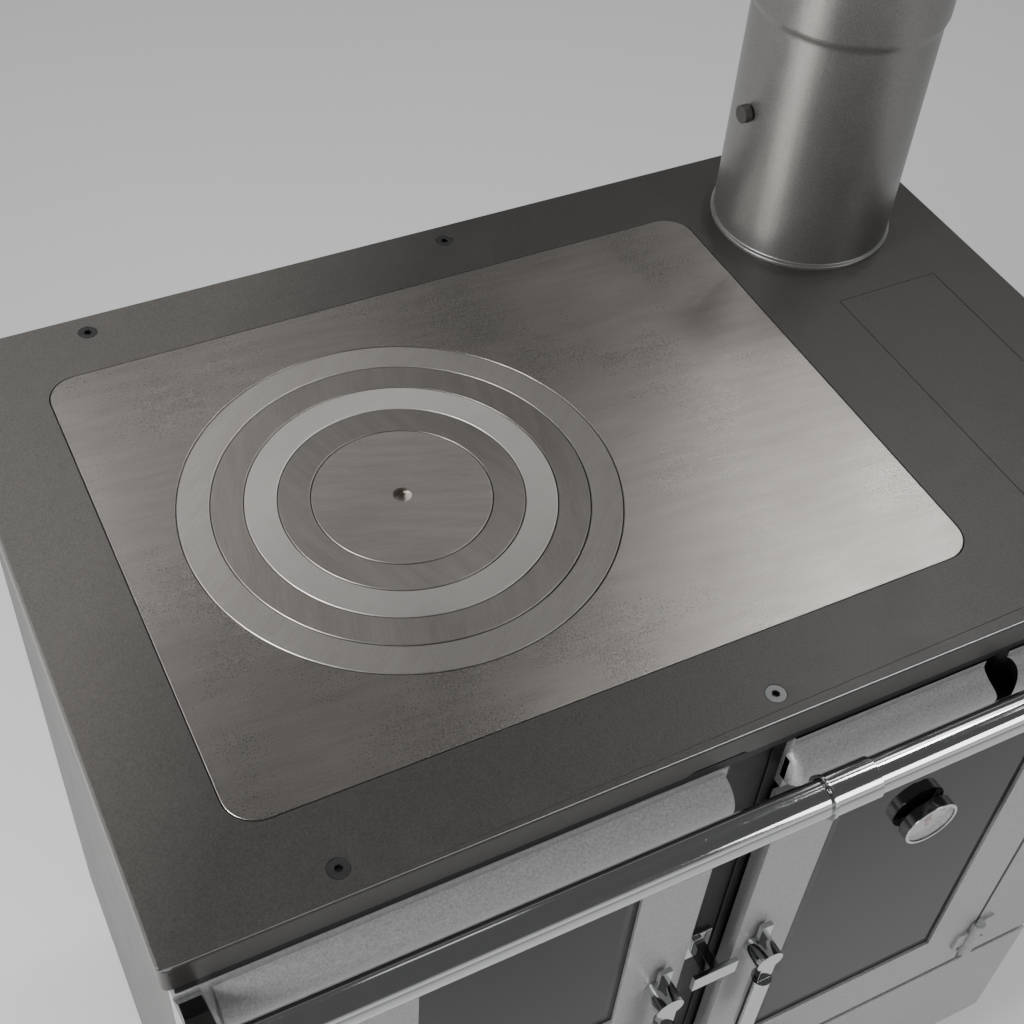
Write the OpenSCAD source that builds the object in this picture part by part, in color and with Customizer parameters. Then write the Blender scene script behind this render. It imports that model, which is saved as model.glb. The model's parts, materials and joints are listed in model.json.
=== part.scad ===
// Free-standing wood-burning range cooker: a milled cast iron hotplate with lift-off rings in a
// painted steel top frame, firebox on the left, oven on the right, wood drawer below.
// Frame: X to the right along the front, Y to the back, Z up. The origin is on the floor,
// in the middle of the width and in the middle of the depth from hand rail to back.

/* [Top frame] */
// Width of the top frame
cook_w = 793; // [785:1:815]
// Depth of the top frame
cook_d = 521; // [515:1:545]
// Height of the cooking surface above the floor
cook_h = 855; // [850:1:880]
// Thickness of the frame's plate
frame_t = 6; // [5:0.5:7]
// Height of the lip that is turned down all round
lip_h = 22.5; // [21:0.5:24]
// Thickness of the lip
lip_t = 5; // [4:0.5:6]
// Corner radius of the frame seen from above
frame_r = 5; // [4:0.5:8]
// Depth of the shallow cut in the front lip's lower edge
lip_cut = 3; // [2:0.5:4]

/* [Hotplate] */
// Width of the hotplate
plate_w = 524; // [510:1:526]
// Depth of the hotplate
plate_d = 396; // [385:1:398]
// Thickness of the hotplate and of its rings
plate_t = 8; // [7:0.5:9]
// Corner radius of the hotplate
plate_r = 22; // [18:1:28]
// Distance from the frame's left edge to the hotplate
plate_margin = 64; // [60:1:66]
// Distance that the hotplate sits behind the middle of the frame's depth
plate_shift = 1.5; // [0:0.5:4]
// Gap round the hotplate and between the rings
plate_gap = 0.6; // [0.4:0.1:1]
// Width of the ledge that carries the hotplate in the frame
ledge_w = 10; // [8:1:12]
// Thickness of the flat seal under the hotplate
seal_t = 2; // [1.5:0.5:3]
// Distance from the hotplate's left edge to the centre of the rings
ring_x = 190; // [185:1:200]
// Outer diameter of the largest ring
ring_d = 300; // [290:1:310]
// Outer diameter of the centre disc
disc_d = 123; // [115:1:130]
// Width of the half lap where one ring lies on the next
lap_w = 7; // [5:0.5:8]
// Thickness of the upper half of the lap
lap_t = 4.5; // [4:0.25:5]
// Diameter of the lifting hole in the centre disc
lift_d = 13; // [11:0.5:15]

/* [Frame screws] */
// Diameter of the countersunk screw heads
screw_head_d = 13.5; // [12:0.5:15]
// Shank diameter of the frame screws
screw_d = 6; // [5:0.5:7]
// Length of the frame screws
screw_l = 15; // [12:1:16]
// Distance from the frame's edge to the screws
screw_inset = 18.5; // [17:0.5:20]
// Distance between neighbouring screws along the width
screw_pitch = 288; // [270:1:295]

/* [Flue] */
// Outer diameter of the flue pipe
pipe_d = 143.5; // [135:0.5:146]
// Wall of the flue pipe
pipe_t = 1.5; // [1.5:0.5:2.5]
// Length of the flue pipe above the frame
pipe_l = 250; // [220:5:300]
// Distance from the frame's right edge to the flue
flue_right = 109.7; // [106:0.1:112]
// Distance from the frame's back edge to the flue
flue_back = 98.1; // [95:0.1:102]
// Length of the widened socket on top of the flue pipe
socket_l = 50; // [40:1:60]
// Height of the flue damper above the frame
damper_up = 115; // [110:1:125]
// Width of the cleaning cover
cover_w = 91; // [85:1:95]
// Length of the cleaning cover
cover_l = 230; // [200:1:240]
// Thickness of the cleaning cover's flush plate
cover_t = 3; // [2:0.5:4]
// Distance from the frame's right edge to the cleaning cover
cover_right = 51.3; // [46:0.1:56]
// Distance from the frame's back edge to the cleaning cover
cover_back = 204.8; // [200:0.1:215]

/* [Hand rail] */
// Diameter of the hand rail tube
rail_d = 24; // [20:0.5:26]
// Wall of the hand rail tube
rail_t = 2; // [1.5:0.5:3]
// Distance from the frame's front edge to the rail's axis
rail_off = 45.8; // [42:0.1:55]
// Distance from the cooking surface down to the rail's axis
rail_drop = 22.6; // [20:0.1:24]
// Diameter of the collar over the joint of the two rail tubes
collar_d = 27; // [26:0.5:30]
// Length of the collar
collar_l = 36; // [30:1:44]
// Distance from the cooker's middle to the collar's middle
collar_x = 14; // [0:1:20]
// Thickness of the rail brackets
bracket_t = 16; // [14:1:18]

/* [Front] */
// Distance from the cooking surface down to the fascia's upper edge
fascia_drop = 31; // [30:0.5:33]
// Height of the fascia
fascia_h = 55; // [53:1:57]
// Radius of the half-round bead along the fascia
bead_r = 17; // [15:0.5:18]
// Distance from the cooking surface down to the bead's axis
bead_drop = 54; // [52:0.5:56]
// Left edge of the dark gap in the middle of the front, from the cooker's middle
gap_left = 36; // [34:1:40]
// Right edge of the dark gap in the middle of the front, from the cooker's middle
gap_right = 10; // [8:1:12]
// Diameter of the notch in the right fascia
notch_d = 24; // [20:1:26]
// Distance from the cooker's middle to the notch
notch_x = 170; // [150:1:180]
// Distance from the frame's front edge back to the dark front plate
front_set = 8; // [7:0.5:9]
// Distance that doors and columns stand out from the frame's front edge
door_out = 10; // [8:0.5:12]
// Width of the firebox door
fire_door_w = 265; // [262:1:268]
// Width of the oven door
oven_door_w = 295; // [292:1:298]
// Distance from the cooking surface down to the doors' upper edge
door_drop = 92; // [90:1:94]
// Height of the doors' lower edge above the floor
door_z0 = 300; // [298:1:304]
// Height of the ash drawer's front
ash_front_h = 132; // [128:1:134]
// Height of the dark strip between ash drawer and firebox door
strip_h = 26; // [24:1:28]
// Thickness of the doors' outer walls
door_wall = 5; // [4:0.5:6]
// Width of the door frames beside the glass
stile_w = 53; // [50:1:56]
// Height of the door frames above the glass
rail_top_h = 41; // [38:1:44]
// Height of the door frames below the glass
rail_low_h = 72; // [68:1:76]
// Thickness of the door glass
glass_t = 4; // [3:0.5:5]
// Distance from a door's front face back to its glass
glass_set = 2.8; // [2:0.1:3.5]
// Thickness of the rope gaskets on the doors
gasket_t = 3.7; // [3:0.1:4]

/* [Hinges and latches] */
// Radius of the hinge knuckles
knuckle_r = 6; // [5:0.5:6.5]
// Diameter of the hinge pins
pin_d = 6; // [4:0.5:7]
// Height of a door's own knuckle
knuckle_h = 24; // [20:1:28]
// Height of each column knuckle
lug_h = 14; // [12:1:16]
// Radius of the latch hubs
hub_r = 11; // [9:0.5:12]
// Distance from a door's free edge to its latch hub
hub_in = 20; // [18:0.5:22]
// Length of the latch tongues
tongue_l = 32; // [30:0.5:33]
// Length of the latch levers
lever_l = 108; // [95:1:120]
// Height of the latches above the doors' lower edge
latch_up = 262; // [255:1:275]
// Diameter of the latch spindles
spindle_d = 8; // [6:0.5:9]

/* [Thermometer] */
// Diameter of the oven thermometer
thermo_d = 45; // [40:0.5:50]
// Length of the thermometer's case
thermo_l = 9.5; // [8.5:0.5:12]
// Gap between the thermometer's case and the glass
thermo_gap = 3.3; // [2:0.1:4]
// Distance from the oven glass's upper edge down to the thermometer's axis
thermo_down = 69; // [60:1:80]

/* [Carcass] */
// Thickness of the sheet metal
sheet_t = 2; // [1.5:0.5:2.5]
// Distance that the frame overhangs the side and back panels
overhang = 6.5; // [6:0.5:7.5]
// Thickness of the front plate
front_t = 3; // [2.5:0.5:4]
// Height of the feet under the plinth
foot_h = 30; // [25:1:35]
// Height of the plinth
plinth_h = 85; // [80:1:90]
// Distance that the plinth stands back under the front
plinth_set = 50; // [40:1:60]
// Height of the wood drawer's front
drawer_h = 167; // [160:1:170]
// Travel of the wood drawer
drawer_run = 350; // [300:5:360]
// Length of the wood drawer's handle
wood_handle_l = 320; // [280:5:340]
// Height of the ash pan
pan_h = 50; // [44:1:56]
// Length of the ash drawer's handle
ash_handle_l = 130; // [110:5:150]
// Diameter of the feet
foot_d = 44; // [40:1:50]

/* [Firebox] */
// Inner width of the firebox shell
fire_w = 272; // [268:1:276]
// Inner depth of the firebox shell
fire_d = 412; // [400:1:414]
// Wall of the firebox shell
fire_t = 4; // [3:0.5:4.5]
// Thickness of the firebricks
brick_t = 25; // [22:0.5:26]
// Thickness of the grate
grate_t = 12; // [10:0.5:14]
// Width of the grate's slots
slot_w = 8; // [6:0.5:9]
// Number of slots in the grate
slot_n = 12; // [8:1:13]

/* [Oven] */
// Inner width of the oven
oven_w = 236; // [230:1:238]
// Inner height of the oven
oven_h = 350; // [340:1:354]
// Inner depth of the oven
oven_d = 405; // [390:1:415]
// Height of the oven floor above the doors' lower edge
oven_up = 52; // [50:1:54]
// Number of wires across the oven rack
wire_n = 13; // [9:1:17]

/* [Hidden] */
$fn = 64;

// ---- clearances ----
clear = 0.3;        // gap between pieces that slide or lift past each other
run = 0.05;         // radial running clearance of shafts and pins
fit = 0.1;          // gap between pieces that are assembled into one another

// ---- overall planes ----
half_w = cook_w / 2;
bracket_r = rail_d / 2 + 4;
back_y = (cook_d + rail_off + bracket_r) / 2;
front_y = back_y - cook_d;
mid_y = (front_y + back_y) / 2;
case_x = half_w - overhang;
case_y = back_y - overhang;
inner_x = case_x - sheet_t;
face_y = front_y + front_set;
plate_back_y = face_y + front_t;
door_y = front_y - door_out;
door_back = face_y - gasket_t - clear;
under_z = cook_h - frame_t;
lip_z = cook_h - lip_h;
panel_z1 = under_z;
base_z = foot_h + plinth_h;
fold_w = 18;        // bar and folded edge that the frame is screwed to
fold_t = 3;
weld_gap = 0.1;     // between sheets and bars that are welded to each other

// ---- hotplate and rings ----
plate_x0 = plate_margin - half_w;
plate_y0 = mid_y + plate_shift - plate_d / 2;
plate_cx = plate_x0 + plate_w / 2;
plate_cy = plate_y0 + plate_d / 2;
seat_z = cook_h - plate_t - seal_t;
ledge_t = 6;
rim_w = 12;
ring_cx = plate_x0 + ring_x;
ring_n = 4;
ring_w = (ring_d - disc_d) / 2 / ring_n;
lap_z = cook_h - lap_t;
plate_z0 = cook_h - plate_t;
seal_in = 0.5;
lift_floor = 1.5;
lip_inner_r = 1;
lip_cut_x = [-gap_left - 37, -gap_left - 29.5, gap_right - 41, gap_right - 36.5];

// ---- frame screws ----
screw_play = 0.15;
head_sunk = 0.2;
head_land = 0.2;
head_z = cook_h - head_sunk;
hex_w = 5.6;
hex_depth = 3;

// ---- flue and cleaning cover ----
flue_x = half_w - flue_right;
flue_y = back_y - flue_back;
spigot_r = pipe_d / 2 - pipe_t - clear;
spigot_t = 3;
spigot_up = 30;
spigot_low = 34;
spigot_play = 0.5;
flue_flange_r = 80;
flue_flange_t = 4;
flange_y1 = case_y - fold_w - 1;
bead_w = 2.25;
bead_h = 3;
bead_slope = 1.5;
flare_h = 10;
socket_gap = 1;
damper_z = cook_h + damper_up;
damper_rod_d = 8;
damper_t = 2.5;
damper_gap = 1.5;
collar_r = 7;
collar_off = 2;
stop_l = 6;
handle_l = 18;
handle_t = 4;
handle_w = 12;
handle_down = 46;
ball_r = 10;
cover_x1 = half_w - cover_right;
cover_y1 = back_y - cover_back;
cover_rebate = 7;
cover_plug = 8;

// ---- fascia and rail ----
fascia_z1 = cook_h - fascia_drop;
fascia_z0 = fascia_z1 - fascia_h;
bead_z = cook_h - bead_drop;
bead_step = 6;
trim_x = case_x + 2;
bead_inset = 22;
bead_end = trim_x - bead_inset;
step_t = 1.5;
strip_y = front_y + 1;
notch_out = 7.2;
notch_down = 58;
notch_y = front_y - notch_out;
notch_z = cook_h - notch_down;
rail_y = front_y - rail_off;
rail_z = cook_h - rail_drop;
bracket_cap = 4;

// ---- doors, columns, hinges and latches ----
door_gap = 2;
hinge_gap = 4;
door_z1 = cook_h - door_drop;
fire_x1 = -gap_left - door_gap;
fire_x0 = fire_x1 - fire_door_w;
oven_x0 = gap_right - door_gap;
oven_x1 = oven_x0 + oven_door_w;
ash_z1 = door_z0 + ash_front_h;
fire_z0 = ash_z1 + strip_h;
hinge_y = door_y - knuckle_r / 2;
fire_hinge_x = fire_x0 - hinge_gap / 2;
oven_hinge_x = oven_x1 + hinge_gap / 2;
hinge_in = 45;
hinge_slack = 0.4;
leaf_w = 18;
leaf_t = 3;
swing_r = knuckle_r + 0.6;
pin_over = 2;
pin_head_h = 2.5;
pin_head_r = pin_d / 2 + 1.5;
rebate_w = 6;
retainer_t = 3;
glass_y = door_y + glass_set;
gasket_w = 8;
gasket_gap = 4;
latch_z = door_z0 + latch_up;
fire_latch_x = fire_x1 - hub_in;
oven_latch_x = oven_x0 + hub_in;
tongue_w = 10;
tongue_t = 4;
tongue_y = door_y - 7;
hub_l = 20;
lever_w = 12;
lever_t = 6;
grip_r = 8;
grip_l = 80;
washer_t = 1.5;
washer_w = 4;
keeper_x = (fire_x1 + oven_x0) / 2;
keeper_w = oven_x0 - fire_x1 - 8;
keeper_t = 4;
keeper_half_h = 9;
keeper_foot_w = 22;
keeper_foot_h = 36;
keeper_foot_t = 3;
keeper_stem_w = 8;

// ---- openings in the front plate ----
fire_open = [fire_x0 + 33, fire_x1 - 42, fire_z0 + 22, door_z1 - 33];
oven_open = [oven_x0 + 42, oven_x0 + 42 + oven_w, door_z0 + oven_up, door_z0 + oven_up + oven_h];
ash_open = [fire_x0 + 23, fire_x1 - 12, door_z0, ash_z1 - 12];
drawer_z0 = base_z + 7;
drawer_z1 = drawer_z0 + drawer_h;
drawer_half = case_x - 30;
divider_z = drawer_z1 + 3;

// ---- firebox ----
shell_x0 = ring_cx - fire_w / 2;
shell_x1 = ring_cx + fire_w / 2;
shell_y0 = plate_back_y + fire_t;
shell_y1 = shell_y0 + fire_d;
shell_z1 = seat_z - ledge_t;
hearth_z = ash_z1 + 6;
brick_z1 = door_z1 - 13;
brick_y0 = shell_y1 - clear - brick_t;
grate_half_w = 102;
grate_half_d = 165;
grate_y = brick_y0 - 5 - grate_half_d;
hearth_half_w = 90;
hearth_half_d = 140;
slot_pitch = 2 * hearth_half_w / (slot_n + 0.5);
slot_end = 6;
shaker_z = ash_z1 + strip_h / 2;
shaker_r = 4;
shaker_knob_r = 9;
shaker_knob_l = 16;
brick_set = 26;
brick_step = 15;

// ---- smoke box and start damper ----
smoke_x0 = shell_x1 + fire_t;
smoke_x1 = inner_x - 10;
smoke_y0 = plate_back_y;
smoke_y1 = case_y - 17;
smoke_z0 = door_z1 - 35;
flue_room = [188, 161];
baffle_x = smoke_x1 - flue_room[0];
baffle_y = smoke_y1 - flue_room[1];
slot_in = 10;
down_slot_y = [smoke_y0 + 38, smoke_y0 + 158];
up_slot_l = 80;
up_slot_d = 42;
window_y = [shell_y0 + 66, shell_y1 - 45];
window_z = door_z1 - 10;
start_x = (oven_x1 + hinge_gap + trim_x) / 2;
start_z = smoke_z0 + 12;
start_r = 4;
start_run = 50;
start_half = 24;
start_lap = 4;
start_low = 5;
start_up = 39;
start_plate_t = 3;
start_knob_r = 12;
start_knob_l = 18;
start_out = 22;
boss_w = 6;

// ---- carcass, plinth and drawers ----
rail_end = trim_x - bracket_cap - fit;
drawer_box_x = drawer_half - 10;
drawer_box_z = base_z + 13;
drawer_box_l = drawer_run + 100;
drawer_low = 45;
drawer_hollow = 38;
drawer_sill = 7;
wood_handle_z = drawer_z0 + 0.66 * drawer_h;
wood_handle_r = 7;
wood_handle_out = 32;
wood_post_in = 20;
bar_w = 24;
plinth_x = case_x - 20;
plinth_y0 = front_y + plinth_set;
plinth_y1 = case_y - 20;
gusset_z = foot_h + 10;
gusset_t = 3;
gusset_half = 35;
foot_inset = gusset_half + 1;
foot_stem_r = 6;
foot_pad_h = 10;
foot_stem_over = 22;
foot_nut_r = 10;
foot_nut_h = 8;
board_drop = 40;
board_side = 20;
board_back = 13;
board_over = 20;
board_left = 35;
pan_slide_h = door_z0 - divider_z - sheet_t;
pan_y1 = shell_y1 - 47;
pan_play = 1;
ash_sill = 62;
ash_handle_z = door_z0 + 28;
ash_handle_r = 5;
ash_handle_out = 28;
ash_post_in = 10;
valve_x = (fire_x0 + fire_x1) / 2;
valve_z = ash_z1 - 43;
valve_r = 30;
valve_hole_r = 8;
valve_pitch_r = 19;
valve_t = 3;
valve_knob_r = 10;
valve_knob_l = 19;
valve_pin_r = 3;
valve_nut_r = 6;
rib_up = [60, 150, 240];
rib_w = 6;
rib_h = 3;
rib_y = [plate_back_y + 10, plate_back_y + oven_d - 15];
rack_y = [plate_back_y + 35, plate_back_y + oven_d - 2];
rack_r = 3;
tray_h = 22;
tray_t = 1.5;
liner_foot_w = 20;
liner_foot_x = [oven_open[0] + 5, oven_open[1] - 25];
liner_foot_y = [plate_back_y + 20, plate_back_y + oven_d - 40];

// ---- thermometer ----
thermo_x = (oven_x0 + oven_x1) / 2;
thermo_z = door_z1 - rail_top_h - thermo_down;
thermo_back = glass_y - thermo_gap;
thermo_front = thermo_back - thermo_l;
stem_r = 4;
stem_flange_w = 3;
stem_out = 5;
thermo_wall = 2.5;
needle_pin_r = 1.2;
needle_t = 0.8;
needle_hub_r = 3;
needle_hub_t = 1.2;
needle_tail = 7;
needle_gap = 7;
lens_t = 1.5;
lens_set = 0.8;

// ==== helpers ====

// Box given by its limits
module box(x, y, z) {
    translate([x[0], y[0], z[0]]) cube([x[1] - x[0], y[1] - y[0], z[1] - z[0]]);
}

// Open-topped box given by its outer limits and its wall
module tray(x, y, z, wall) {
    difference() {
        box(x, y, z);
        box([x[0] + wall, x[1] - wall], [y[0] + wall, y[1] - wall], [z[0] + wall, z[1] + 1]);
    }
}

// The same box welded of a floor and four walls
module welded_tray(x, y, z, wall) {
    side = wall + weld_gap;
    up = [z[0] + side, z[1]];
    box(x, y, [z[0], z[0] + wall]);
    box([x[0], x[0] + wall], y, up);
    box([x[1] - wall, x[1]], y, up);
    box([x[0] + side, x[1] - side], [y[0], y[0] + wall], up);
    box([x[0] + side, x[1] - side], [y[1] - wall, y[1]], up);
}

// Cylinders along the three axes
module rod_x(r, x, y, z) {
    translate([x[0], y, z]) rotate([0, 90, 0]) cylinder(r = r, h = x[1] - x[0]);
}
module rod_y(r, x, y, z) {
    translate([x, y[1], z]) rotate([90, 0, 0]) cylinder(r = r, h = y[1] - y[0]);
}
module rod_z(r, x, y, z) {
    translate([x, y, z[0]]) cylinder(r = r, h = z[1] - z[0]);
}

// Rectangle with round corners, centred
module round_rect(w, d, r) {
    square([w - 2 * r, d], center = true);
    square([w, d - 2 * r], center = true);
    for (i = [-1, 1], j = [-1, 1]) translate([i * (w / 2 - r), j * (d / 2 - r)]) circle(r);
}

// Plate in the hotplate's place, with its outline moved outwards by grow
module plate_shape(grow, z) {
    translate([plate_cx, plate_cy, z[0]]) linear_extrude(z[1] - z[0])
        round_rect(plate_w + 2 * grow, plate_d + 2 * grow, plate_r + grow);
}

// ==== top frame, hotplate and rings ====

module frame_slab(shrink, z, r) {
    translate([0, mid_y, z[0]]) linear_extrude(z[1] - z[0])
        round_rect(cook_w - 2 * shrink, cook_d - 2 * shrink, r);
}

module screw_places() {
    for (x = [-screw_pitch, 0, screw_pitch], y = [front_y + screw_inset, back_y - screw_inset])
        translate([x, y, 0]) children();
}

// Head cone and shank of one countersunk screw, opened by play
module screw_form(play) {
    head_h = (screw_head_d - screw_d) / 2;
    rotate_extrude() polygon([[0, cook_h - screw_l], [screw_d / 2 + play, cook_h - screw_l],
        [screw_d / 2 + play, head_z - head_land - head_h],
        [screw_head_d / 2 + play, head_z - head_land],
        [screw_head_d / 2 + play, play > 0 ? cook_h + 1 : head_z],
        [0, play > 0 ? cook_h + 1 : head_z]]);
}

module top_frame() {
    color([0.27, 0.27, 0.26]) difference() {
        union() {
            frame_slab(0, [under_z, cook_h], frame_r);
            difference() {
                frame_slab(0, [lip_z, under_z], frame_r);
                frame_slab(lip_t, [lip_z - 1, under_z + 1], lip_inner_r);
            }
            plate_shape(rim_w, [seat_z - ledge_t, under_z]);
        }
        plate_shape(plate_gap, [seat_z, cook_h + 1]);
        plate_shape(-ledge_w, [seat_z - ledge_t - 1, cook_h]);
        rod_z(spigot_r + spigot_play, flue_x, flue_y, [under_z - 1, cook_h + 1]);
        box([cover_x1 - cover_w - clear, cover_x1 + clear],
            [cover_y1 - cover_l - clear, cover_y1 + clear], [cook_h - cover_t, cook_h + 1]);
        box([cover_x1 - cover_w + cover_rebate, cover_x1 - cover_rebate],
            [cover_y1 - cover_l + cover_rebate, cover_y1 - cover_rebate], [under_z - 1, cook_h]);
        screw_places() screw_form(screw_play);
        translate([0, front_y - 1, lip_z - 1]) rotate([90, 0, 0]) mirror([0, 0, 1])
            linear_extrude(lip_t + 2) polygon([[lip_cut_x[0], 1], [lip_cut_x[1], 1 + lip_cut],
                [lip_cut_x[2], 1 + lip_cut], [lip_cut_x[3], 1], [lip_cut_x[3], 0],
                [lip_cut_x[0], 0]]);
    }
}

module hotplate_seal() {
    color([0.75, 0.74, 0.7]) difference() {
        plate_shape(-seal_in, [seat_z, seat_z + seal_t]);
        plate_shape(-ledge_w + seal_in, [seat_z - 1, seat_z + seal_t + 1]);
    }
}

module hotplate() {
    color([0.42, 0.41, 0.4]) difference() {
        plate_shape(0, [plate_z0, cook_h]);
        rod_z(ring_d / 2 + plate_gap / 2, ring_cx, plate_cy, [lap_z, cook_h + 1]);
        rod_z(ring_d / 2 - lap_w, ring_cx, plate_cy, [plate_z0 - 1, cook_h]);
    }
}

// Outer radius of ring n, counted inwards from 0
function ring_r(n) = ring_d / 2 - n * ring_w;

module ring(n) {
    outer = ring_r(n);
    inner = ring_r(n + 1);
    translate([ring_cx, plate_cy, 0]) rotate_extrude() polygon([
        [outer - plate_gap / 2, cook_h], [inner + plate_gap / 2, cook_h],
        [inner + plate_gap / 2, lap_z], [inner - lap_w, lap_z], [inner - lap_w, plate_z0],
        [outer - lap_w - plate_gap, plate_z0], [outer - lap_w - plate_gap, lap_z + clear],
        [outer - plate_gap / 2, lap_z + clear]]);
}
module ring_1() { color([0.45, 0.44, 0.43]) ring(0); }
module ring_2() { color([0.36, 0.35, 0.34]) ring(1); }
module ring_3() { color([0.52, 0.51, 0.5]) ring(2); }
module ring_4() { color([0.33, 0.32, 0.31]) ring(3); }

// Centre disc with its lifting hole and the slanted bar in it that the lifter hooks under
module centre_disc() {
    r = disc_d / 2;
    color([0.4, 0.39, 0.38]) translate([ring_cx, plate_cy, 0]) {
        difference() {
            rotate_extrude() polygon([[0, cook_h], [r - plate_gap / 2, cook_h],
                [r - plate_gap / 2, lap_z + clear], [r - lap_w - plate_gap, lap_z + clear],
                [r - lap_w - plate_gap, plate_z0], [0, plate_z0]]);
            rod_z(lift_d / 2, 0, 0, [plate_z0 + lift_floor, cook_h + 1]);
        }
        intersection() {
            rod_z(lift_d / 2 + 0.5, 0, 0, [plate_z0 + 1, cook_h - 1]);
            translate([0, lift_d / 2, 0]) rotate([90, 0, 0]) linear_extrude(lift_d)
                polygon([[0, plate_z0 + 1], [lift_d, plate_z0 + 1], [lift_d, cook_h - 1],
                    [lift_d / 2, cook_h - 1]]);
        }
    }
}

module frame_screws() {
    color([0.16, 0.16, 0.16]) screw_places() difference() {
        screw_form(0);
        translate([0, 0, head_z - hex_depth]) cylinder(d = hex_w, h = hex_depth + 1, $fn = 6);
    }
}

// ==== flue ====

module cleaning_cover() {
    color([0.29, 0.29, 0.28]) {
        box([cover_x1 - cover_w, cover_x1], [cover_y1 - cover_l, cover_y1],
            [cook_h - cover_t + clear, cook_h]);
        box([cover_x1 - cover_w + cover_rebate + clear, cover_x1 - cover_rebate - clear],
            [cover_y1 - cover_l + cover_rebate + clear, cover_y1 - cover_rebate - clear],
            [cook_h - cover_t - cover_plug, cook_h - cover_t + clear]);
    }
}

// Cast spigot that hangs under the frame's plate and stands up inside the pipe
module flue_spigot() {
    color([0.2, 0.2, 0.2]) difference() {
        union() {
            rod_z(spigot_r, flue_x, flue_y, [cook_h - spigot_low, cook_h + spigot_up]);
            intersection() {
                rod_z(flue_flange_r, flue_x, flue_y, [under_z - flue_flange_t, under_z]);
                box([0, half_w], [mid_y, flange_y1], [under_z - flue_flange_t - 1, under_z + 1]);
            }
        }
        rod_z(spigot_r - spigot_t, flue_x, flue_y,
            [cook_h - spigot_low - 1, cook_h + spigot_up + 1]);
    }
}

module flue_pipe() {
    r = pipe_d / 2;
    z1 = cook_h + pipe_l;
    z2 = z1 - socket_l;
    socket_r = r + socket_gap;
    color([0.36, 0.36, 0.35]) difference() {
        translate([flue_x, flue_y, 0]) rotate_extrude() polygon([
            [r - pipe_t, cook_h], [r + bead_w, cook_h], [r + bead_w, cook_h + bead_h],
            [r, cook_h + bead_h + bead_slope], [r, z2 - flare_h], [socket_r + pipe_t, z2],
            [socket_r + pipe_t, z1], [socket_r, z1], [socket_r, z2],
            [r - pipe_t, z2 - flare_h]]);
        rod_x(damper_rod_d / 2 + run, [flue_x - pipe_d, flue_x + pipe_d], flue_y, damper_z);
    }
}

// Butterfly disc on its spindle, with the stop collar and the handle outside the pipe
module flue_damper() {
    left = flue_x - pipe_d / 2 - collar_off;
    right = flue_x + pipe_d / 2 + collar_off;
    mid = right + handle_l / 2;
    color([0.2, 0.2, 0.2]) {
        rod_x(damper_rod_d / 2, [left - stop_l, right + handle_l], flue_y, damper_z);
        rod_y(pipe_d / 2 - pipe_t - damper_gap, flue_x,
            [flue_y - damper_t / 2, flue_y + damper_t / 2], damper_z);
        rod_x(collar_r, [left - stop_l, left], flue_y, damper_z);
        rod_x(collar_r, [right, right + handle_l], flue_y, damper_z);
        box([mid - handle_t / 2, mid + handle_t / 2],
            [flue_y - handle_w / 2, flue_y + handle_w / 2], [damper_z - handle_down, damper_z]);
        translate([mid, flue_y, damper_z - handle_down - ball_r / 2]) sphere(r = ball_r);
    }
}

// ==== fascia and hand rail ====

// Fascia strip with its half-round bead
module fascia(x, bead_x) {
    box(x, [front_y, face_y], [fascia_z0, fascia_z1]);
    difference() {
        rod_x(bead_r, bead_x, front_y, bead_z);
        box([bead_x[0] - 1, bead_x[1] + 1], [face_y, front_y + bead_r + 1],
            [fascia_z0, fascia_z1]);
    }
}
module left_fascia() {
    color([0.62, 0.62, 0.61]) fascia([-trim_x, -gap_left], [-bead_end, -gap_left - bead_step]);
}
module right_fascia() {
    color([0.62, 0.62, 0.61]) difference() {
        fascia([gap_right, trim_x], [gap_right - bead_step, bead_end]);
        rod_z(notch_d / 2, notch_x, notch_y, [notch_z, fascia_z1 + 1]);
        box([gap_right - bead_step - 1, gap_right], [front_y, face_y + 1],
            [fascia_z0, fascia_z1]);
    }
}

module rail_tube(x) {
    difference() {
        rod_x(rail_d / 2, x, rail_y, rail_z);
        rod_x(rail_d / 2 - rail_t, [x[0] - 1, x[1] + 1], rail_y, rail_z);
    }
}
module left_rail() { color([0.8, 0.8, 0.82]) rail_tube([-rail_end, collar_x - fit]); }
module right_rail() { color([0.8, 0.8, 0.82]) rail_tube([collar_x + fit, rail_end]); }

module rail_collar() {
    x0 = collar_x - collar_l / 2;
    color([0.85, 0.85, 0.87]) difference() {
        union() {
            rod_x(collar_d / 2, [x0, x0 + collar_l], rail_y, rail_z);
            rod_x(collar_d / 2 + 0.8, [x0, x0 + 2.5], rail_y, rail_z);
        }
        rod_x(rail_d / 2 + run, [x0 - 1, x0 + collar_l + 1], rail_y, rail_z);
    }
}

// One bracket: a foot on the fascia's flat, an arm and a blind boss round the rail's end
module rail_bracket() {
    difference() {
        translate([trim_x - bracket_t, 0, 0]) rotate([90, 0, 90]) linear_extrude(bracket_t) {
            translate([rail_y, rail_z]) circle(bracket_r);
            polygon([[front_y, fascia_z0 + 4], [front_y, fascia_z1 - 3],
                [rail_y + 3, rail_z + bracket_r - 1], [rail_y - 11, rail_z - 11]]);
        }
        rod_x(rail_d / 2 + run, [trim_x - bracket_t - 1, trim_x - bracket_cap], rail_y, rail_z);
    }
}
module rail_brackets() {
    color([0.78, 0.78, 0.8]) {
        rail_bracket();
        mirror([1, 0, 0]) rail_bracket();
    }
}

// ==== hinges ====

function hinge_levels(z0) = [z0 + hinge_in, door_z1 - hinge_in];

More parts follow.
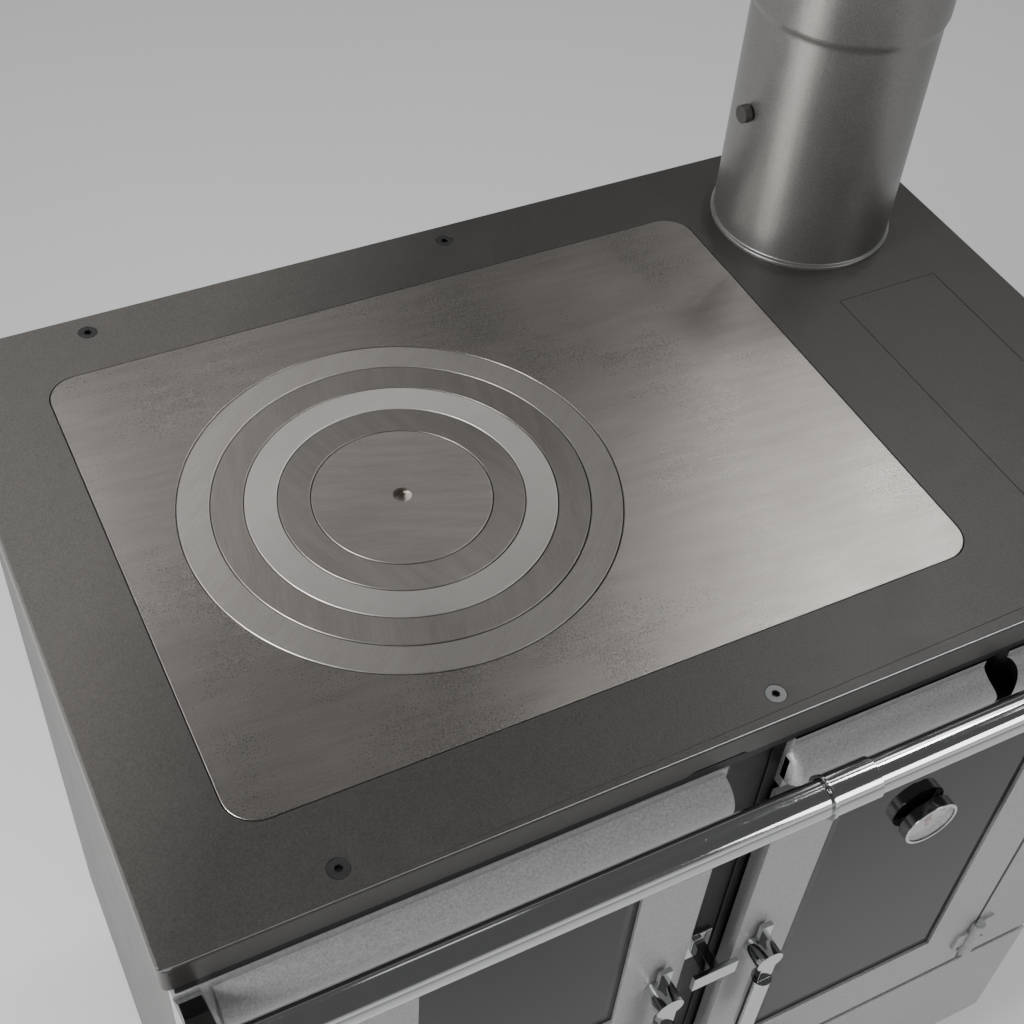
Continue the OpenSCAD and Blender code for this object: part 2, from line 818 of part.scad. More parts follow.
// Door knuckles with their leaves, on the side the door lies on
module door_knuckles(axis_x, side, z0) {
    for (z = hinge_levels(z0)) {
        rod_z(knuckle_r, axis_x, hinge_y, [z - knuckle_h / 2, z + knuckle_h / 2]);
        box(side > 0 ? [axis_x, axis_x + leaf_w] : [axis_x - leaf_w, axis_x],
            [door_y - leaf_t, door_y + 0.5], [z - knuckle_h / 2, z + knuckle_h / 2]);
    }
}

// Column knuckles above and below each door knuckle
module lug_heights(z0) {
    for (z = hinge_levels(z0), s = [-1, 1])
        translate([0, 0, z + s * (knuckle_h / 2 + hinge_slack + lug_h / 2)]) children();
}
module column_lugs(axis_x, side, z0) {
    lug_heights(z0) {
        rod_z(knuckle_r, axis_x, hinge_y, [-lug_h / 2, lug_h / 2]);
        box(side > 0 ? [axis_x, axis_x + leaf_w] : [axis_x - leaf_w, axis_x],
            [door_y - leaf_t, door_y + 0.5], [-lug_h / 2, lug_h / 2]);
    }
}

// Room that the other side's knuckles need
module door_knuckle_room(axis_x, z0) {
    for (z = hinge_levels(z0))
        rod_z(swing_r, axis_x, hinge_y,
            [z - knuckle_h / 2 - hinge_slack, z + knuckle_h / 2 + hinge_slack]);
}
module lug_room(axis_x, z0) {
    lug_heights(z0)
        rod_z(swing_r, axis_x, hinge_y, [-lug_h / 2 - hinge_slack, lug_h / 2 + hinge_slack]);
}
function pin_span() = knuckle_h / 2 + hinge_slack + lug_h;
module pin_bore(axis_x, z0) {
    rod_z(pin_d / 2 + run, axis_x, hinge_y, [z0, door_z1]);
    for (z = hinge_levels(z0))
        rod_z(pin_head_r + clear, axis_x, hinge_y,
            [z + pin_span(), z + pin_span() + pin_head_h + clear]);
}

module hinge_pins() {
    span = pin_span();
    color([0.75, 0.75, 0.77]) for (side = [[fire_hinge_x, fire_z0], [oven_hinge_x, door_z0]])
        for (z = hinge_levels(side[1])) {
            rod_z(pin_d / 2, side[0], hinge_y, [z - span - pin_over, z + span + pin_head_h]);
            rod_z(pin_head_r, side[0], hinge_y, [z + span, z + span + pin_head_h]);
        }
}

// Column beside a door: a hollow casting with the hinge's lugs on its front
module column(x, axis_x, side, z0) {
    difference() {
        union() {
            difference() {
                box(x, [door_y, face_y], [door_z0, door_z1]);
                box([x[0] + door_wall, x[1] - door_wall], [door_y + door_wall, face_y + 1],
                    [door_z0 + door_wall, door_z1 - door_wall]);
                door_knuckle_room(axis_x, z0);
            }
            column_lugs(axis_x, side, z0);
        }
        pin_bore(axis_x, z0);
    }
}
module left_column() {
    color([0.62, 0.62, 0.61])
        column([-trim_x, fire_x0 - hinge_gap], fire_hinge_x, -1, fire_z0);
}
module right_column() {
    color([0.62, 0.62, 0.61]) difference() {
        union() {
            column([oven_x1 + hinge_gap, trim_x], oven_hinge_x, 1, door_z0);
            rod_y(start_r + boss_w, start_x, [door_y + door_wall - 1, face_y], start_z);
        }
        rod_y(start_r + run, start_x, [door_y - 1, face_y + 1], start_z);
    }
}

// ==== doors ====

function glass_hole(x, z0) = [x[0] + stile_w, x[1] - stile_w, z0 + rail_low_h, door_z1 - rail_top_h];

module door(x, z0, axis_x, side, latch_x) {
    g = glass_hole(x, z0);
    difference() {
        union() {
            difference() {
                box(x, [door_y, door_back], [z0, door_z1]);
                lug_room(axis_x, z0);
            }
            door_knuckles(axis_x, side, z0);
        }
        box([g[0], g[1]], [door_y - 1, door_back + 1], [g[2], g[3]]);
        box([g[0] - rebate_w, g[1] + rebate_w], [glass_y, door_back + 1],
            [g[2] - rebate_w, g[3] + rebate_w]);
        pin_bore(axis_x, z0);
        rod_y(spindle_d / 2 + run, latch_x, [door_y - 1, door_back + 1], latch_z);
    }
    door_retainer(g);
}

// Sheet frame that is screwed in behind the glass
module door_retainer(g) {
    y0 = glass_y + glass_t;
    difference() {
        box([g[0] - rebate_w, g[1] + rebate_w], [y0, y0 + retainer_t],
            [g[2] - rebate_w, g[3] + rebate_w]);
        box([g[0], g[1]], [y0 - 1, y0 + retainer_t + 1], [g[2], g[3]]);
    }
}

module door_glass(x, z0) {
    g = glass_hole(x, z0);
    box([g[0] - rebate_w + fit, g[1] + rebate_w - fit], [glass_y, glass_y + glass_t],
        [g[2] - rebate_w + fit, g[3] + rebate_w - fit]);
}

// Rope gasket round an opening in the front plate
module door_gasket(o) {
    reach = gasket_gap + gasket_w;
    difference() {
        box([o[0] - reach, o[1] + reach], [door_back, door_back + gasket_t],
            [o[2] - reach, o[3] + reach]);
        box([o[0] - gasket_gap, o[1] + gasket_gap], [door_back - 1, door_back + gasket_t + 1],
            [o[2] - gasket_gap, o[3] + gasket_gap]);
    }
}

// Latch: hub, tongue pointing up, lever with its grip hanging down, spindle and washer
module latch(x) {
    rod_y(hub_r, x, [door_y - hub_l, door_y - clear], latch_z);
    box([x - tongue_w / 2, x + tongue_w / 2], [tongue_y, tongue_y + tongue_t],
        [latch_z, latch_z + tongue_l]);
    box([x - lever_w / 2, x + lever_w / 2], [door_y - hub_l, door_y - hub_l + lever_t],
        [latch_z - lever_l, latch_z]);
    rod_z(grip_r, x, door_y - hub_l + lever_t / 2,
        [latch_z - lever_l, latch_z - lever_l + grip_l]);
    rod_y(spindle_d / 2, x, [door_y - hub_l + 1, door_back + clear + washer_t], latch_z);
    rod_y(spindle_d / 2 + washer_w, x, [door_back + clear, door_back + clear + washer_t],
        latch_z);
}

module firebox_door() {
    color([0.62, 0.62, 0.61])
        door([fire_x0, fire_x1], fire_z0, fire_hinge_x, 1, fire_latch_x);
}
module firebox_glass() { color([0.15, 0.14, 0.13, 0.6]) door_glass([fire_x0, fire_x1], fire_z0); }
module firebox_gasket() { color([0.3, 0.3, 0.29]) door_gasket(fire_open); }
module firebox_latch() { color([0.8, 0.8, 0.82]) latch(fire_latch_x); }

module oven_door() {
    color([0.62, 0.62, 0.61])
        door([oven_x0, oven_x1], door_z0, oven_hinge_x, -1, oven_latch_x);
}
module oven_glass() {
    color([0.15, 0.14, 0.13, 0.6]) difference() {
        door_glass([oven_x0, oven_x1], door_z0);
        rod_y(stem_r + clear, thermo_x, [glass_y - 1, glass_y + glass_t + 1], thermo_z);
    }
}
module oven_gasket() { color([0.3, 0.3, 0.29]) door_gasket(oven_open); }
module oven_latch() { color([0.8, 0.8, 0.82]) latch(oven_latch_x); }

module keeper_slab(w, y, half_h) {
    box([keeper_x - w / 2, keeper_x + w / 2], y, [latch_z - half_h, latch_z + half_h]);
}

// Keeper on the centre of the front: a foot, a stem and a plate that both tongues turn behind
module latch_keeper() {
    plate_y = tongue_y - 1;
    color([0.7, 0.7, 0.72]) {
        keeper_slab(keeper_foot_w, [face_y - keeper_foot_t, face_y], keeper_foot_h / 2);
        keeper_slab(keeper_stem_w, [plate_y - keeper_t, face_y], keeper_half_h);
        keeper_slab(keeper_w, [plate_y - keeper_t, plate_y], keeper_half_h);
    }
}

// ==== thermometer on the oven glass ====

module thermometer_case() {
    color([0.8, 0.8, 0.82]) {
        difference() {
            rod_y(thermo_d / 2, thermo_x, [thermo_front, thermo_back], thermo_z);
            rod_y(thermo_d / 2 - thermo_wall, thermo_x,
                [thermo_front - 1, thermo_back - thermo_wall], thermo_z);
        }
        rod_y(needle_pin_r, thermo_x, [thermo_back - 2 * thermo_wall, thermo_back - 1], thermo_z);
        rod_y(stem_r + stem_flange_w, thermo_x, [thermo_back, glass_y], thermo_z);
        rod_y(stem_r, thermo_x, [glass_y - 1, glass_y + glass_t + stem_out], thermo_z);
        rod_y(stem_r + stem_flange_w, thermo_x,
            [glass_y + glass_t, glass_y + glass_t + stem_flange_w], thermo_z);
    }
}

// Pointer with its counterweight, on the case's spindle; it points up at rest
module thermometer_needle() {
    y0 = thermo_back - 2 * thermo_wall + fit;
    reach = thermo_d / 2 - needle_gap;
    color([0.75, 0.1, 0.08]) difference() {
        union() {
            rod_y(needle_hub_r, thermo_x, [y0, y0 + needle_hub_t], thermo_z);
            translate([thermo_x, y0 + needle_t, thermo_z]) rotate([90, 0, 0])
                linear_extrude(needle_t) polygon([[-1, 0], [-0.4, reach], [0.4, reach], [1, 0],
                    [1.6, -needle_tail], [-1.6, -needle_tail]]);
        }
        rod_y(needle_pin_r + run, thermo_x, [y0 - 1, y0 + needle_hub_t + 1], thermo_z);
    }
}

module thermometer_lens() {
    color([0.85, 0.9, 0.92, 0.4])
        rod_y(thermo_d / 2 - thermo_wall - fit, thermo_x,
            [thermo_front + lens_set, thermo_front + lens_set + lens_t], thermo_z);
}

// ==== carcass ====

// Rectangular hole through the front plate, given as [x0, x1, z0, z1]
module front_hole(o) {
    box([o[0], o[1]], [face_y - 1, plate_back_y + 1], [o[2], o[3]]);
}

// Front plate welded of a lower, a left and a right sheet, with the bar behind its top, the
// strip over the fascia and the step in the middle, which covers the upright seam
module front_plate() {
    y = [face_y, plate_back_y];
    seam_x = gap_right / 2;
    color([0.14, 0.14, 0.14]) difference() {
        union() {
            box([-inner_x, inner_x], y, [base_z, divider_z]);
            box([-inner_x, seam_x], y, [divider_z + weld_gap, panel_z1]);
            box([seam_x + weld_gap, inner_x], y, [divider_z + weld_gap, panel_z1]);
            box([-inner_x, inner_x], [plate_back_y + weld_gap, face_y + fold_w],
                [panel_z1 - fold_t, panel_z1]);
            box([-case_x, case_x], [strip_y, face_y - weld_gap], [fascia_z1, lip_z - fit]);
            box([0, gap_right - fit], [face_y - step_t, face_y - weld_gap],
                [door_z0, fascia_z1 - weld_gap]);
        }
        front_hole(fire_open);
        front_hole(oven_open);
        front_hole(ash_open);
        front_hole([-drawer_half, drawer_half, drawer_box_z - 1, drawer_z1 - drawer_sill]);
        rod_y(shaker_r + 1, ring_cx, [face_y - 1, plate_back_y + 1], shaker_z);
        rod_y(start_r + 1, start_x, [face_y - 1, plate_back_y + 1], start_z);
        screw_places() rod_z(screw_d / 2 + run, 0, 0, [panel_z1 - fold_t - 1, panel_z1 + 1]);
    }
}

module side_panel(x) {
    color([0.2, 0.2, 0.2]) box(x, [face_y, case_y], [base_z, panel_z1]);
}
module left_side() { side_panel([-case_x, -case_x + sheet_t]); }
module right_side() { side_panel([case_x - sheet_t, case_x]); }

module back_panel() {
    color([0.2, 0.2, 0.2]) difference() {
        union() {
            box([-inner_x, inner_x], [case_y - sheet_t, case_y], [base_z, panel_z1]);
            box([-inner_x, inner_x], [case_y - fold_w, case_y], [panel_z1 - fold_t, panel_z1]);
        }
        screw_places() rod_z(screw_d / 2 + run, 0, 0, [panel_z1 - fold_t - 1, panel_z1 + 1]);
    }
}

// Bottom sheet with the two bars that the wood drawer slides on
module base_plate() {
    color([0.2, 0.2, 0.2]) {
        box([-inner_x, inner_x], [plate_back_y, case_y - sheet_t], [base_z, base_z + sheet_t]);
        for (x = [-drawer_box_x, drawer_box_x - bar_w])
            box([x, x + bar_w], [plate_back_y, case_y - board_side],
                [base_z + sheet_t, drawer_box_z - clear]);
    }
}

// Sheet above the wood drawer with the two bars that the ash pan slides on
module divider_plate() {
    color([0.2, 0.2, 0.2]) {
        box([-inner_x, inner_x], [plate_back_y, case_y - sheet_t], [divider_z, divider_z + sheet_t]);
        for (x = [ash_open[0] + 10, ash_open[1] - 10 - bar_w])
            box([x, x + bar_w], [plate_back_y, pan_y1],
                [divider_z + sheet_t, divider_z + sheet_t + pan_slide_h]);
    }
}

// Plinth: four walls and a gusset in each corner for the foot
module foot_places() {
    for (x = [foot_inset - plinth_x, plinth_x - foot_inset],
         y = [plinth_y0 + foot_inset, plinth_y1 - foot_inset])
        translate([x, y, 0]) children();
}
module plinth() {
    color([0.1, 0.1, 0.1]) difference() {
        union() {
            difference() {
                box([-plinth_x, plinth_x], [plinth_y0, plinth_y1], [foot_h, base_z]);
                box([-plinth_x + sheet_t, plinth_x - sheet_t],
                    [plinth_y0 + sheet_t, plinth_y1 - sheet_t], [foot_h - 1, base_z + 1]);
            }
            foot_places() box([-gusset_half, gusset_half], [-gusset_half, gusset_half],
                [gusset_z, gusset_z + gusset_t]);
        }
        foot_places() rod_z(foot_stem_r + run, 0, 0, [gusset_z - 1, gusset_z + gusset_t + 1]);
    }
}

module levelling_feet() {
    color([0.3, 0.3, 0.3]) foot_places() {
        rod_z(foot_d / 2, 0, 0, [0, foot_pad_h]);
        rod_z(foot_stem_r, 0, 0, [foot_pad_h - 1, gusset_z + foot_stem_over]);
        translate([0, 0, gusset_z - foot_nut_h])
            cylinder(r = foot_nut_r, h = foot_nut_h, $fn = 6);
    }
}

// Boards at the left, at the right, on the oven and at the back, each against its panel
module insulation_boards() {
    z = [divider_z + sheet_t, shell_z1 - board_drop];
    y = [plate_back_y, case_y - board_side];
    color([0.85, 0.84, 0.8]) {
        box([-inner_x, -inner_x + board_left], y, z);
        box([smoke_x1, inner_x], y, z);
        box([oven_open[0], oven_open[1]], [plate_back_y, plate_back_y + oven_d],
            [oven_open[3] + sheet_t, oven_open[3] + sheet_t + board_over]);
        box([-inner_x + 2 * board_side, smoke_x1],
            [case_y - sheet_t - board_back, case_y - sheet_t], z);
    }
}

// ==== firebox ====

// Welded firebox shell with the hearth plate and the ash chamber's walls under it
module firebox_shell() {
    x = [shell_x0 - fire_t, shell_x1 + fire_t];
    y = [plate_back_y, shell_y1 + fire_t];
    chamber = [ash_open[0] - sheet_t, ash_open[1] + sheet_t];
    color([0.22, 0.21, 0.2]) {
        difference() {
            box(x, y, [hearth_z - fire_t, shell_z1]);
            box([shell_x0, shell_x1], [shell_y0, shell_y1], [hearth_z, shell_z1 + 1]);
            box([fire_open[0], fire_open[1]], [y[0] - 1, shell_y0 + 1],
                [fire_open[2], fire_open[3]]);
            box([ring_cx - hearth_half_w, ring_cx + hearth_half_w],
                [grate_y - hearth_half_d, grate_y + hearth_half_d],
                [hearth_z - fire_t - 1, hearth_z + 1]);
            box([shell_x1 - 1, x[1] + 1], window_y, [window_z, shell_z1 + 1]);
            rod_y(shaker_r + 1, ring_cx, [y[0] - 1, shell_y0 + 1], shaker_z);
        }
        for (wall = [[chamber[0], ash_open[0]], [ash_open[1], chamber[1]]])
            box(wall, y, [divider_z + sheet_t, hearth_z - fire_t]);
        box(chamber, [y[1] - sheet_t, y[1]], [divider_z + sheet_t, hearth_z - fire_t]);
    }
}

module left_firebrick() {
    color([0.78, 0.7, 0.55]) box([shell_x0 + clear, shell_x0 + clear + brick_t],
        [shell_y0 + brick_set, shell_y1 - clear], [hearth_z, brick_z1]);
}
module right_firebrick() {
    color([0.78, 0.7, 0.55]) box([shell_x1 - clear - brick_t, shell_x1 - clear],
        [shell_y0 + brick_set, shell_y1 - clear], [hearth_z, brick_z1 - brick_step]);
}
module rear_firebrick() {
    color([0.78, 0.7, 0.55])
        box([shell_x0 + 2 * clear + brick_t, shell_x1 - 2 * clear - brick_t],
            [brick_y0, shell_y1 - clear], [hearth_z, brick_z1]);
}

// Slotted grate with its shaker rod and knob
module grate() {
    z = [hearth_z + clear, hearth_z + clear + grate_t];
    color([0.25, 0.24, 0.23]) {
        difference() {
            box([ring_cx - grate_half_w, ring_cx + grate_half_w],
                [grate_y - grate_half_d, grate_y + grate_half_d], z);
            for (i = [0 : slot_n - 1], s = [-1, 1]) {
                x = ring_cx + (i - (slot_n - 1) / 2) * slot_pitch;
                y = grate_y + s * hearth_half_d / 2;
                half = hearth_half_d / 2 - slot_end;
                box([x - slot_w / 2, x + slot_w / 2], [y - half, y + half], [z[0] - 1, z[1] + 1]);
            }
        }
        rod_y(shaker_r, ring_cx, [door_y - 2, grate_y - grate_half_d + 3], shaker_z);
        rod_y(shaker_knob_r, ring_cx, [door_y + 2 - shaker_knob_l, door_y + 2], shaker_z);
    }
}

// ==== ash drawer ====

module valve_holes(r) {
    for (a = [90, 210, 330])
        rod_y(r, valve_x + valve_pitch_r * cos(a), [door_y - valve_knob_l - 1, door_y + door_wall + 1],
            valve_z + valve_pitch_r * sin(a));
}

module ash_drawer_front() {
    color([0.62, 0.62, 0.61]) difference() {
        box([fire_x0, fire_x1], [door_y, door_back], [door_z0, ash_z1]);
        box([fire_x0 + door_wall, fire_x1 - door_wall], [door_y + door_wall, door_back + 1],
            [door_z0 + ash_sill, ash_z1 - door_wall]);
        valve_holes(valve_hole_r);
        rod_y(valve_pin_r + run, valve_x, [door_y - 1, door_back + 1], valve_z);
    }
}

module ash_pan() {
    color([0.3, 0.3, 0.3]) tray([ash_open[0] + pan_play, ash_open[1] - pan_play],
        [door_back, pan_y1], [door_z0 + clear, door_z0 + pan_h], sheet_t);
}

// Bar handle on two posts, given by its length and the distance of the posts from its ends
module bar_handle(x, z, length, post_in, r, out) {
    rod_x(r, [x - length / 2, x + length / 2], door_y - out, z);
    for (s = [-1, 1])
        rod_y(r - 1, x + s * (length / 2 - post_in), [door_y - out, door_y], z);
}
module ash_handle() {
    color([0.8, 0.8, 0.82])
        bar_handle(valve_x, ash_handle_z, ash_handle_l, ash_post_in, ash_handle_r, ash_handle_out);
}

// Round air valve: three holes in a disc that turns over three holes in the drawer front
module air_valve() {
    color([0.75, 0.75, 0.77]) {
        difference() {
            rod_y(valve_r, valve_x, [door_y - clear - valve_t, door_y - clear], valve_z);
            valve_holes(valve_hole_r);
        }
        rod_y(valve_knob_r, valve_x, [door_y - valve_knob_l, door_y - clear], valve_z);
        rod_y(valve_pin_r, valve_x, [door_y - 1, door_y + door_wall + valve_t], valve_z);
        rod_y(valve_nut_r, valve_x, [door_y + door_wall + clear, door_y + door_wall + valve_t],
            valve_z);
    }
}

// ==== smoke box and start damper ====

// Open-topped smoke box over the oven, with the walled flue corner at the back on the right
module smoke_box() {
    t = sheet_t;
    side = t + weld_gap;
    z = [smoke_z0 + side, shell_z1];
    color([0.2, 0.2, 0.2]) difference() {
        union() {
            welded_tray([smoke_x0, smoke_x1], [smoke_y0, smoke_y1], [smoke_z0, shell_z1], t);
            box([baffle_x, smoke_x1 - side], [baffle_y, baffle_y + t], z);
            box([baffle_x, baffle_x + t], [baffle_y + side, smoke_y1 - side], z);
        }
        box([smoke_x0 - 1, smoke_x0 + t + 1], window_y, [window_z, shell_z1 + 1]);
        box([oven_open[1] + slot_in, smoke_x1 - slot_in], down_slot_y,
            [smoke_z0 - 1, smoke_z0 + t + 1]);
        box([baffle_x + slot_in, baffle_x + slot_in + up_slot_l],
            [smoke_y1 - slot_in - up_slot_d, smoke_y1 - slot_in],
            [smoke_z0 - 1, smoke_z0 + t + 1]);
        box([start_x - start_half + start_lap, start_x + start_half - start_lap],
            [baffle_y - 1, baffle_y + t + 1], [start_z - start_low, start_z + start_up]);
        rod_y(start_r + 1, start_x, [smoke_y0 - 1, smoke_y0 + t + 1], start_z);
    }
}

// Plate that is drawn against the flue corner's window, with its rod and knob
module start_damper() {
    seat_y = baffle_y + sheet_t + clear + start_run;
    color([0.75, 0.75, 0.77]) {
        rod_y(start_r, start_x, [door_y - start_out + 1, seat_y + 1], start_z);
        box([start_x - start_half, start_x + start_half], [seat_y, seat_y + start_plate_t],
            [smoke_z0 + sheet_t + 1, start_z + start_up + start_lap]);
        rod_y(start_knob_r, start_x, [door_y - start_out, door_y - start_out + start_knob_l],
            start_z);
    }
}

// ==== oven ====

module oven_liner() {
    o = oven_open;
    color([0.35, 0.36, 0.38]) {
        difference() {
            box([o[0] - sheet_t, o[1] + sheet_t], [plate_back_y, plate_back_y + oven_d + sheet_t],
                [o[2] - sheet_t, o[3] + sheet_t]);
            box([o[0], o[1]], [plate_back_y - 1, plate_back_y + oven_d], [o[2], o[3]]);
        }
        for (up = rib_up, x = [[o[0] - 1, o[0] + rib_w], [o[1] - rib_w, o[1] + 1]])
            box(x, rib_y, [o[2] + up - rib_h, o[2] + up]);
        // feet that carry the liner on the divider plate
        for (x = liner_foot_x, y = liner_foot_y)
            box([x, x + liner_foot_w], [y, y + liner_foot_w],
                [divider_z + sheet_t, o[2] - sheet_t / 2]);
    }
}

// Wire rack on the middle ribs
module oven_rack() {
    z = oven_open[2] + rib_up[1] + clear + rack_r;
    x = [oven_open[0] + rack_r + 1, oven_open[1] - rack_r - 1];
    y = [rack_y[0] + rack_r, rack_y[1] - rack_r];
    color([0.8, 0.8, 0.8]) {
        for (side = y) rod_x(rack_r, [x[0] - rack_r, x[1] + rack_r], side, z);
        for (side = x) rod_y(rack_r, side, y, z);
        rod_x(rack_r / 2, x, (y[0] + y[1]) / 2, z - rack_r / 4);
        for (i = [1 : wire_n])
            rod_y(rack_r / 2, x[0] + (x[1] - x[0]) * i / (wire_n + 1), y, z + rack_r / 4);
    }
}

// Baking tray on the lowest ribs, hung by its rim
module oven_tray() {
    z = oven_open[2] + rib_up[0] + clear;
    x = [oven_open[0] + rib_w + 2, oven_open[1] - rib_w - 2];
    color([0.12, 0.12, 0.13]) {
        tray(x, rack_y, [z - tray_h, z + tray_t], tray_t);
        difference() {
            box([oven_open[0] + 1, oven_open[1] - 1], rack_y, [z, z + tray_t]);
            box([x[0] + tray_t, x[1] - tray_t], [rack_y[0] + tray_t, rack_y[1] - tray_t],
                [z - 1, z + tray_t + 1]);
        }
    }
}

// ==== wood drawer ====

module wood_drawer_front() {
    color([0.62, 0.62, 0.61]) difference() {
        box([-trim_x, trim_x], [door_y, door_back], [drawer_z0, drawer_z1]);
        box([-trim_x + door_wall, trim_x - door_wall], [door_y + door_wall, door_back + 1],
            [drawer_z1 - drawer_hollow, drawer_z1 - door_wall]);
    }
}

module wood_drawer_box() {
    color([0.3, 0.3, 0.3]) welded_tray([-drawer_box_x, drawer_box_x],
        [door_back, door_back + drawer_box_l], [drawer_box_z, drawer_z1 - drawer_low], sheet_t);
}

module wood_drawer_handle() {
    color([0.8, 0.8, 0.82])
        bar_handle(0, wood_handle_z, wood_handle_l, wood_post_in, wood_handle_r,
            wood_handle_out);
}

top_frame();
hotplate();
hotplate_seal();
ring_1();
ring_2();
ring_3();
ring_4();
centre_disc();
frame_screws();
cleaning_cover();
flue_spigot();
flue_pipe();
flue_damper();
left_fascia();
right_fascia();
left_rail();
right_rail();
rail_collar();
rail_brackets();
left_column();
right_column();
latch_keeper();
front_plate();
left_side();
right_side();
back_panel();
base_plate();
divider_plate();
plinth();
levelling_feet();
insulation_boards();
firebox_shell();
left_firebrick();
right_firebrick();
rear_firebrick();
grate();
ash_drawer_front();
ash_pan();
ash_handle();
air_valve();
smoke_box();
start_damper();
oven_liner();
oven_rack();
oven_tray();
hinge_pins();
firebox_door();
firebox_glass();
firebox_gasket();
firebox_latch();
oven_door();
oven_glass();
oven_gasket();
oven_latch();
thermometer_case();
thermometer_needle();
thermometer_lens();
wood_drawer_front();
wood_drawer_box();
wood_drawer_handle();
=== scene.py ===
# %% [markdown]
# # A wood-burning range cooker with a cast iron hotplate
#
# The construction is already there: every plate, ring, door and drawer was drawn at its real
# size, and each moving group hangs on a body. This notebook gives those pieces their looks. It
# rounds their edges, gives each its metal, enamel, glass or rope, adds the small trim that a
# maker adds last, and sets up a plain studio round the cooker.
#
# Everything is in metres. X runs to the right along the front, Y to the back, Z up, and the
# floor is at Z = 0.

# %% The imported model
import json
import math

import bpy
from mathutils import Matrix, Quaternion, Vector


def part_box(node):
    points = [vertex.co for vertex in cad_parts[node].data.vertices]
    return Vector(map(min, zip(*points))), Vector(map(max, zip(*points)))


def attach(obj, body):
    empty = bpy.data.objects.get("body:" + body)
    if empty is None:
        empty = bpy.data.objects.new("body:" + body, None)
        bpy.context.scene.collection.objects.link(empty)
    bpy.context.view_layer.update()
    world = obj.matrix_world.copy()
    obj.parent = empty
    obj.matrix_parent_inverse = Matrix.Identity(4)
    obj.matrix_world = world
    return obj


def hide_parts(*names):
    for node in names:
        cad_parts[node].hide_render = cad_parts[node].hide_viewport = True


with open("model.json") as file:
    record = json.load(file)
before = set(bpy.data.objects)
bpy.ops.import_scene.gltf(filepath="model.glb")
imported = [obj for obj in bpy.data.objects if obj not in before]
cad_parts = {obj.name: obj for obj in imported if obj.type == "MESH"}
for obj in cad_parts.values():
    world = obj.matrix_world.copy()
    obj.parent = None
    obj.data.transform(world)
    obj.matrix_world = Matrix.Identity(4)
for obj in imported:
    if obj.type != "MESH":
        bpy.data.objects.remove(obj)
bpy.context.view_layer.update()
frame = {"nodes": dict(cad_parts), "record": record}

scene = bpy.context.scene
nodes = frame["nodes"]
record = frame["record"]
body_of = {node: body for body, members in record["behaviour"]["bodies"].items()
           for node in members}
MM = 0.001

# %% [markdown]
# ## Camera
#
# The photographer stood in front of the left corner and looked down on the hotplate. The place
# below was worked out from the plate's straight edges and its circles. A camera is easiest to
# read as three things: where it stands, the point that it looks at, and how far it is rolled.

# %% Camera
CAMERA_PLACE = Vector((-0.4339, -0.6180, 1.6172))
CAMERA_TARGET = Vector((-0.0824, -0.0130, 0.8550))
CAMERA_ROLL = math.radians(4.95)
LENS_MM = 54.28
LENS_SHIFT = 2 / 1024

bpy.ops.object.select_all(action="DESELECT")
bpy.ops.object.camera_add(location=CAMERA_PLACE)
camera = bpy.context.object
camera.name = "photo_camera"
camera.data.lens = LENS_MM
camera.data.shift_y = LENS_SHIFT
camera.rotation_mode = "QUATERNION"
aim = (CAMERA_TARGET - CAMERA_PLACE).to_track_quat("-Z", "Y")
camera.rotation_quaternion = aim @ Quaternion((0, 0, 1), CAMERA_ROLL)
scene.camera = camera
print("camera", round((CAMERA_TARGET - CAMERA_PLACE).length, 3), "m from the hotplate")

# %% [markdown]
# ## A small language for materials
#
# A material is a network of nodes, and networks are hard to read as code. Two small classes help.
# A `Signal` is one output socket, and arithmetic on it adds Math nodes, so that a mask can be
# written as `1 - grain * 0.3`. A `Finish` is one material with its shader. What is the same all
# over the surface is set on the shader itself, and what varies is fed to it.

# %% Signals
class Signal:
    """One output socket of a material, with arithmetic."""

    def __init__(self, finish, socket):
        self.finish = finish
        self.socket = socket

    def math(self, operation, *values):
        return self.finish.node("ShaderNodeMath", {"operation": operation}, *values)

    def __add__(self, other):
        return self.math("ADD", self, other)

    __radd__ = __add__

    def __mul__(self, other):
        return self.math("MULTIPLY", self, other)

    __rmul__ = __mul__

    def __sub__(self, other):
        return self.math("SUBTRACT", self, other)

    def __rsub__(self, other):
        return self.math("SUBTRACT", other, self)

    def between(self, low, high):
        """0 below low, 1 above high, and a straight climb from one to the other."""
        return self.finish.node("ShaderNodeMapRange", {"clamp": True}, self, low, high, 0.0, 1.0)


